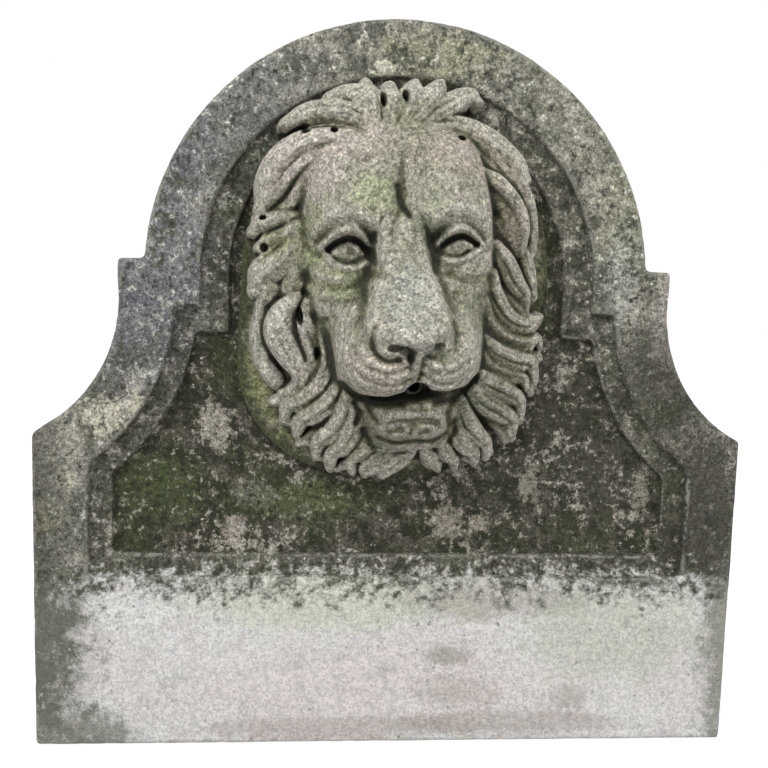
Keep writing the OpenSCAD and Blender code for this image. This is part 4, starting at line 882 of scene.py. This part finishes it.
slabStains = [
    (39, 868, 75, 34, 0.65, (0.40, 0.39, 0.26)),
    (-15, 857, 24, 14, 0.9, (0.66, 0.65, 0.52)),
    (215, 800, 120, 120, 0.55, (0.34, 0.33, 0.26)),
    (-300, 640, 90, 190, 0.7, (0.165, 0.175, 0.20)),
    (-205, 790, 100, 90, 0.55, (0.18, 0.19, 0.195)),
    (300, 690, 60, 100, 0.6, (0.27, 0.275, 0.18)),
    (330, 480, 62, 80, 0.8, (0.105, 0.10, 0.075)),
    (347, 440, 32, 20, 0.85, (0.06, 0.085, 0.025)),
    (322, 400, 24, 20, 0.7, (0.42, 0.37, 0.33)),
    (-205, 700, 26, 60, 0.5, (0.12, 0.14, 0.08)),
    (-360, 425, 30, 24, 0.9, (0.55, 0.52, 0.41)),
    (-322, 442, 14, 18, 0.9, (0.56, 0.52, 0.42)),
    (-432, 300, 22, 24, 0.85, (0.47, 0.46, 0.29)),
    (-412, 345, 13, 13, 0.8, (0.50, 0.48, 0.36)),
    (-300, 350, 70, 60, 0.6, (0.20, 0.20, 0.17)),
    (345, 560, 22, 75, 0.7, (0.46, 0.42, 0.38)),
    (282, 610, 22, 66, 0.65, (0.40, 0.40, 0.36)),
    (440, 385, 16, 46, 0.8, (0.50, 0.48, 0.42)),
    (392, 300, 70, 140, 0.85, (0.125, 0.112, 0.085)),
    (-440, 300, 30, 190, 0.55, (0.14, 0.14, 0.11)),
]
mossStains = [
    (-228, 412, 24, 30, 0.95, (0.36, 0.33, 0.28)),
    (-203, 277, 19, 24, 0.95, (0.38, 0.34, 0.30)),
    (-177, 323, 34, 18, 0.7, (0.22, 0.21, 0.17)),
    (71, 290, 24, 24, 0.85, (0.34, 0.31, 0.25)),
    (116, 288, 17, 14, 0.8, (0.34, 0.31, 0.25)),
    (275, 350, 70, 70, 0.7, (0.06, 0.055, 0.042)),
    (210, 420, 60, 50, 0.7, (0.05, 0.046, 0.034)),
    (180, 340, 16, 22, 0.8, (0.30, 0.28, 0.23)),
    (330, 330, 14, 30, 0.8, (0.27, 0.25, 0.20)),
    (-120, 380, 20, 14, 0.6, (0.24, 0.23, 0.18)),
    (-298, 330, 66, 50, 0.8, (0.055, 0.075, 0.022)),
    (-107, 317, 90, 26, 0.7, (0.10, 0.12, 0.05)),
    (328, 445, 16, 60, 0.85, (0.085, 0.11, 0.035)),
    (-168, 745, 22, 24, 0.9, (0.06, 0.085, 0.03)),
    (-246, 560, 14, 60, 0.7, (0.13, 0.125, 0.10)),
]
# dark patches laid over the frame, low on the right and on the left
frameDarkPatches = [
    (402, 290, 66, 160, 0.75, (0.035, 0.033, 0.024)),
    (340, 480, 52, 80, 0.6, (0.045, 0.043, 0.030)),
    (-440, 270, 34, 150, 0.5, (0.05, 0.05, 0.038)),
]
apronStains = [
    (0, 70, 330, 62, 0.6, (0.82, 0.74, 0.725)),
    (-80, 190, 190, 40, 0.8, (0.70, 0.73, 0.60)),
    (300, 150, 130, 70, 0.7, (0.62, 0.66, 0.54)),
    (130, 190, 120, 24, 0.5, (0.40, 0.36, 0.30)),
    (72, 118, 34, 14, 0.6, (0.36, 0.32, 0.28)),
    (240, 60, 30, 16, 0.5, (0.42, 0.38, 0.33)),
    (90, 70, 60, 22, 0.45, (0.48, 0.42, 0.37)),
    (-60, 20, 200, 16, 0.5, (0.45, 0.38, 0.34)),
    (160, 26, 160, 18, 0.5, (0.42, 0.36, 0.32)),
    (-452, 120, 74, 150, 0.95, (0.13, 0.14, 0.10)),
    (-400, 10, 80, 40, 0.8, (0.20, 0.20, 0.16)),
    (456, 130, 44, 170, 0.85, (0.27, 0.27, 0.22)),
]
frameCoats = [
    ("mottle", 0.52, 0.66, 0.8, (0.09, 0.094, 0.066)),
    ("blotch", 0.53, 0.61, 0.7, (0.075, 0.08, 0.052)),
    ("blotch", 0.46, 0.38, 0.55, (0.45, 0.43, 0.37)),       # crust
    ("dots", 0.56, 0.64, 0.9, (0.03, 0.03, 0.022)),         # pits
    ("dots", 0.44, 0.36, 0.8, (0.60, 0.59, 0.53)),
]
panelCoats = [
    ("crust", 0.468, 0.425, 0.85, (0.37, 0.345, 0.29)),
    ("dots", 0.44, 0.34, 0.8, (0.40, 0.38, 0.32)),
    ("dots", 0.54, 0.63, 0.95, (0.016, 0.020, 0.008)),
]
apronCoats = [
    ("mottle", 0.50, 0.66, 0.35, (0.42, 0.38, 0.33)),
    ("dots", 0.60, 0.70, 0.75, (0.20, 0.19, 0.15)),
    ("dots", 0.40, 0.33, 0.5, (0.86, 0.84, 0.80)),
]


def slabStone():
    material, tree, shader, place = startMaterial("weatheredStone", 0.92)
    depth, height = [sums(tree, "MULTIPLY", side, 1 / mm) for side in apart(tree, place)[1:]]
    cloud = grain(tree, place, 10, 6, 0.62)
    blotch = grain(tree, place, 21, 6, 0.75)
    mottle = grain(tree, place, 42, 6, 0.75)
    dots = grain(tree, place, 95, 5, 0.75)
    ragged = sums(tree, "MULTIPLY_ADD", mottle, 2.6, -1.3)
    torn = sums(tree, "MULTIPLY_ADD", dots, 3.2, sums(tree, "MULTIPLY_ADD", mottle, 2.6, -2.9))
    crust = sums(tree, "MULTIPLY_ADD", blotch, 0.5, sums(tree, "MULTIPLY", dots, 0.5))
    fringe = sums(tree, "MULTIPLY_ADD", mottle, 160, height)
    edge = sums(tree, "MULTIPLY_ADD", dots, 170, fringe)

    outer = tint(tree, fade(tree, cloud, 0.42, 0.58), *slab["frame"])
    outer = tinted(tree, outer, place, slabStains, torn)
    outer = layered(tree, outer, frameCoats, mottle=mottle, blotch=blotch, dots=dots)
    outer = tinted(tree, outer, place, frameDarkPatches, torn)
    outer = tint(tree, fade(tree, fringe, *slab["fringeAt"], 0, 0.85), outer, slab["fringe"])

    sunk = tint(tree, fade(tree, mottle, 0.42, 0.58), *slab["panel"])
    sunk = tint(tree, fade(tree, cloud, 0.50, 0.62, 0, 0.55), sunk, slab["moss"])
    sunk = tinted(tree, sunk, place, mossStains, torn)
    sunk = layered(tree, sunk, panelCoats, crust=crust, dots=dots)

    apron = tint(tree, fade(tree, cloud, 0.4, 0.6), *slab["apron"])
    apron = tinted(tree, apron, place, apronStains, ragged)
    apron = layered(tree, apron, apronCoats, mottle=mottle, dots=dots)
    apron = speckled(tree, apron, place, 0.80, 1.17)

    inside = fade(tree, painted(tree, "inset"), *slab["sunkFrom"])
    band = fade(tree, depth, *slab["bandAt"], 0, 0.65)
    panel = fade(tree, depth, *slab["panelAt"], 0, 0.35)
    colour = tint(tree, sums(tree, "MULTIPLY", inside, sums(tree, "ADD", band, panel)), outer, sunk)
    hewn = tint(tree, fade(tree, mottle, 0.40, 0.60), *slab["hewn"])
    colour = tint(tree, fade(tree, depth, *slab["hewnAt"]), colour, hewn)
    colour = gritty(tree, speckled(tree, colour, place, 0.55, 1.5), place, 0.7)
    washed = sums(tree, "MULTIPLY", fade(tree, edge, *slab["washAt"]), fade(tree, depth, *slab["washFront"]))
    colour = tint(tree, washed, colour, apron)
    # a painted highlight along the worn arrises, broken into patches
    litArris = sums(tree, "MULTIPLY", painted(tree, "arris"), fade(tree, dots, 0.40, 0.58, 0, 1.3))
    litArris = sums(tree, "MULTIPLY", litArris, fade(tree, blotch, 0.42, 0.58))
    colour = tint(tree, fade(tree, litArris, 0.15, 0.6, 0, 0.6), colour, slab["arrisHighlight"])
    roughened(tree, shader, place, colour, 230, 0.005)
    return material


# The mortar shows round the mane as a mossy ledge

mortar = {
    "mesh": 2.4,
    "faces": 60000,
    "worn": 5,
    "chips": 1.0,
    "swell": 0.5,
    # its outline: three rounds, each across, up and radius, and what joins them
    "rounds": [(-3, 616, 192), (-58, 499, 142), (15, 459, 107)],
    "tones": ((0.31, 0.31, 0.18), (0.12, 0.13, 0.055)),
    "coats": [("cloud", 0.42, 0.60, 0.7, (0.33, 0.32, 0.24)), ("rim", 20, 4, 0.92, (0.04, 0.045, 0.018))],
}


def layMortar():
    piece = remeshed("mortar_bed", "mortarBed", mortar["mesh"])
    wear(piece, mortar)
    lighten(piece, mortar["faces"])
    x, y, z = pointsOf(piece).T / mm
    rounds = np.array(mortar["rounds"], float)
    rim = np.full(len(x), -1e3)
    for first, last in ((0, 1), (1, 2), (2, 0)):
        for share in np.linspace(0, 1, 12):
            cx, cz, radius = rounds[first] * (1 - share) + rounds[last] * share
            rim = np.maximum(rim, radius - np.hypot(x - cx, z - cz))
    giveValue(piece, "rim", rim)
    return piece


def mortarFinish():
    material, tree, shader, place = startMaterial("mossyMortar", 0.92)
    moss = grain(tree, place, 60, 5, 0.7)
    cloud = grain(tree, place, 16, 4, 0.6)
    rim = sums(tree, "MULTIPLY_ADD", moss, 60, sums(tree, "ADD", painted(tree, "rim"), -30))
    colour = tint(tree, fade(tree, moss, 0.38, 0.62), *mortar["tones"])
    colour = layered(tree, colour, mortar["coats"], cloud=cloud, rim=rim)
    colour = gritty(tree, speckled(tree, colour, place, 0.5, 1.45), place, 0.6)
    roughened(tree, shader, place, colour, 260, 0.003)
    return material


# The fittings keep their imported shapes: for each finish its clean colour, its dull one, roughness, metal

metals = {
    "agedCopper": ((0.42, 0.20, 0.11), (0.13, 0.22, 0.16), 0.42, 1.0),
    "sootyCopper": ((0.05, 0.035, 0.025), (0.02, 0.022, 0.018), 0.75, 1.0),
    "dullBrass": ((0.46, 0.34, 0.14), (0.20, 0.15, 0.06), 0.38, 1.0),
    "stainless": ((0.55, 0.56, 0.57), (0.36, 0.36, 0.36), 0.30, 1.0),
    "paleResin": ((0.55, 0.47, 0.27), (0.40, 0.33, 0.18), 0.35, 0.0),
    "graphitePacking": ((0.14, 0.14, 0.13), (0.07, 0.07, 0.07), 0.7, 0.0),
    "greyPlastic": ((0.34, 0.35, 0.36), (0.26, 0.27, 0.28), 0.5, 0.0),
}
finishOf = {
    "head_dowels": "stainless", "anchor_sockets": "stainless", "clip_screws": "stainless",
    "dowel_resin": "paleResin", "socket_resin": "paleResin", "pipe_packing": "graphitePacking",
    "clip_plugs": "greyPlastic", "spout_pipe": "sootyCopper", "supply_pipe": "agedCopper",
    "pipe_clips": "agedCopper", "elbow_body": "dullBrass", "inlet_adapter": "dullBrass",
    "compression_nuts": "dullBrass", "olives": "dullBrass",
}


def fittingFinish(name):
    clean, dull, rough, metal = metals[name]
    material, tree, shader, place = startMaterial(name, rough, metal)
    stain = grain(tree, place, 90, 5, 0.65)
    tree.links.new(tint(tree, fade(tree, stain, 0.42, 0.62), clean, dull), shader.inputs["Base Color"])
    tree.links.new(fade(tree, stain, 0.35, 0.7, rough, min(1, rough + 0.25)), shader.inputs["Roughness"])
    relief(tree, shader, grain(tree, place, 900, 3), 0.25, 0.0004)
    return material


for name, finish in finishOf.items():
    made = bpy.data.materials.get(finish) or fittingFinish(finish)
    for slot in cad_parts[name].material_slots:
        slot.material = made
print("fittings finished")

for make, finish, node, slot in ((cutSlab, slabStone, "back_slab", "slab_stone"),
                                 (layMortar, mortarFinish, "mortar_bed", "mortar"),
                                 (carveMask, maskStone, "lion_head", "mask_stone")):
    piece = make()
    for face in piece.data.polygons:
        face.use_smooth = True
    piece.data.materials.append(finish())
    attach(piece, "root")
    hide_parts(node)
    print(piece.name, "made,", len(piece.data.polygons), "faces")


# The room: a pale floor, a white sky and two soft lamps

room = {
    "wide": 6.0,
    "lower": (0, 0, 0.0005),                # so that the floor and the slab's foot don't lie in one plane
    "floor": (0.5, 0.5, 0.5, 1),
    "floorGlow": (0.62, 0.62, 0.62, 1),     # brings the floor up towards white for the camera alone
    "skyLight": 0.72,
    "aim": (0, 0, 0.5),
    "key": ((-0.9, -2.2, 2.6), 1.6, 73),    # place, size, watts
    "fill": ((1.8, -2.0, 1.2), 1.8, 20),
}


def layFloor():
    piece = newPiece("floor", np.array([(-1, -1, 0), (1, -1, 0), (1, 1, 0), (-1, 1, 0)]) * room["wide"]
                     - room["lower"], np.array([[0, 1, 2, 3]]))
    material, tree, shader, _ = startMaterial("paleFloor", 0.9)
    shader.inputs["Base Color"].default_value = room["floor"]
    glow = tree.nodes.new("ShaderNodeEmission")
    glow.inputs["Color"].default_value = room["floorGlow"]
    way = tree.nodes.new("ShaderNodeLightPath")
    tree.links.new(way.outputs["Is Camera Ray"], glow.inputs["Strength"])
    both = tree.nodes.new("ShaderNodeAddShader")
    tree.links.new(shader.outputs[0], both.inputs[0])
    tree.links.new(glow.outputs[0], both.inputs[1])
    tree.links.new(both.outputs[0], tree.nodes["Material Output"].inputs[0])
    piece.data.materials.append(material)


def lightSky():
    world = bpy.data.worlds.new("sky")
    bpy.context.scene.world = world
    world.use_nodes = True
    tree = world.node_tree
    sky = tree.nodes["Background"]
    way = tree.nodes.new("ShaderNodeLightPath")
    seen = sums(tree, "ADD", way.outputs["Is Camera Ray"], way.outputs["Is Glossy Ray"], clamp=True)
    seen = sums(tree, "ADD", seen, way.outputs["Is Transmission Ray"], clamp=True)
    tree.links.new(fade(tree, seen, 0, 1, room["skyLight"], 1), sky.inputs["Strength"])
    sky.inputs["Color"].default_value = (1, 1, 1, 1)


def hangLamp(name):
    place, size, watts = room[name]
    lamp = bpy.data.lights.new(name, "AREA")
    lamp.energy, lamp.size = watts, size
    holder = bpy.data.objects.new(name, lamp)
    holder.location = place
    holder.rotation_euler = (Vector(room["aim"]) - Vector(place)).to_track_quat("-Z", "Y").to_euler()
    bpy.context.scene.collection.objects.link(holder)


camera = {"place": (-0.1148, -1.3003, 0.6243), "right": (0.99674, -0.07595, 0.02724),
          "down": (0.01778, -0.12258, -0.99230), "lens": 46.875, "film": 36}


def standCamera():
    eye = bpy.data.objects.new("camera", bpy.data.cameras.new("camera"))
    right, up = Vector(camera["right"]), -Vector(camera["down"])
    turn = Matrix((right, up, right.cross(up))).transposed()
    eye.matrix_world = Matrix.Translation(camera["place"]) @ turn.to_4x4()
    eye.data.lens, eye.data.sensor_width = camera["lens"], camera["film"]
    eye.data.clip_start = 0.01
    bpy.context.scene.collection.objects.link(eye)
    bpy.context.scene.camera = eye


layFloor()
lightSky()
hangLamp("key")
hangLamp("fill")
standCamera()
bpy.context.scene.view_settings.view_transform = "Standard"
print("room lit")
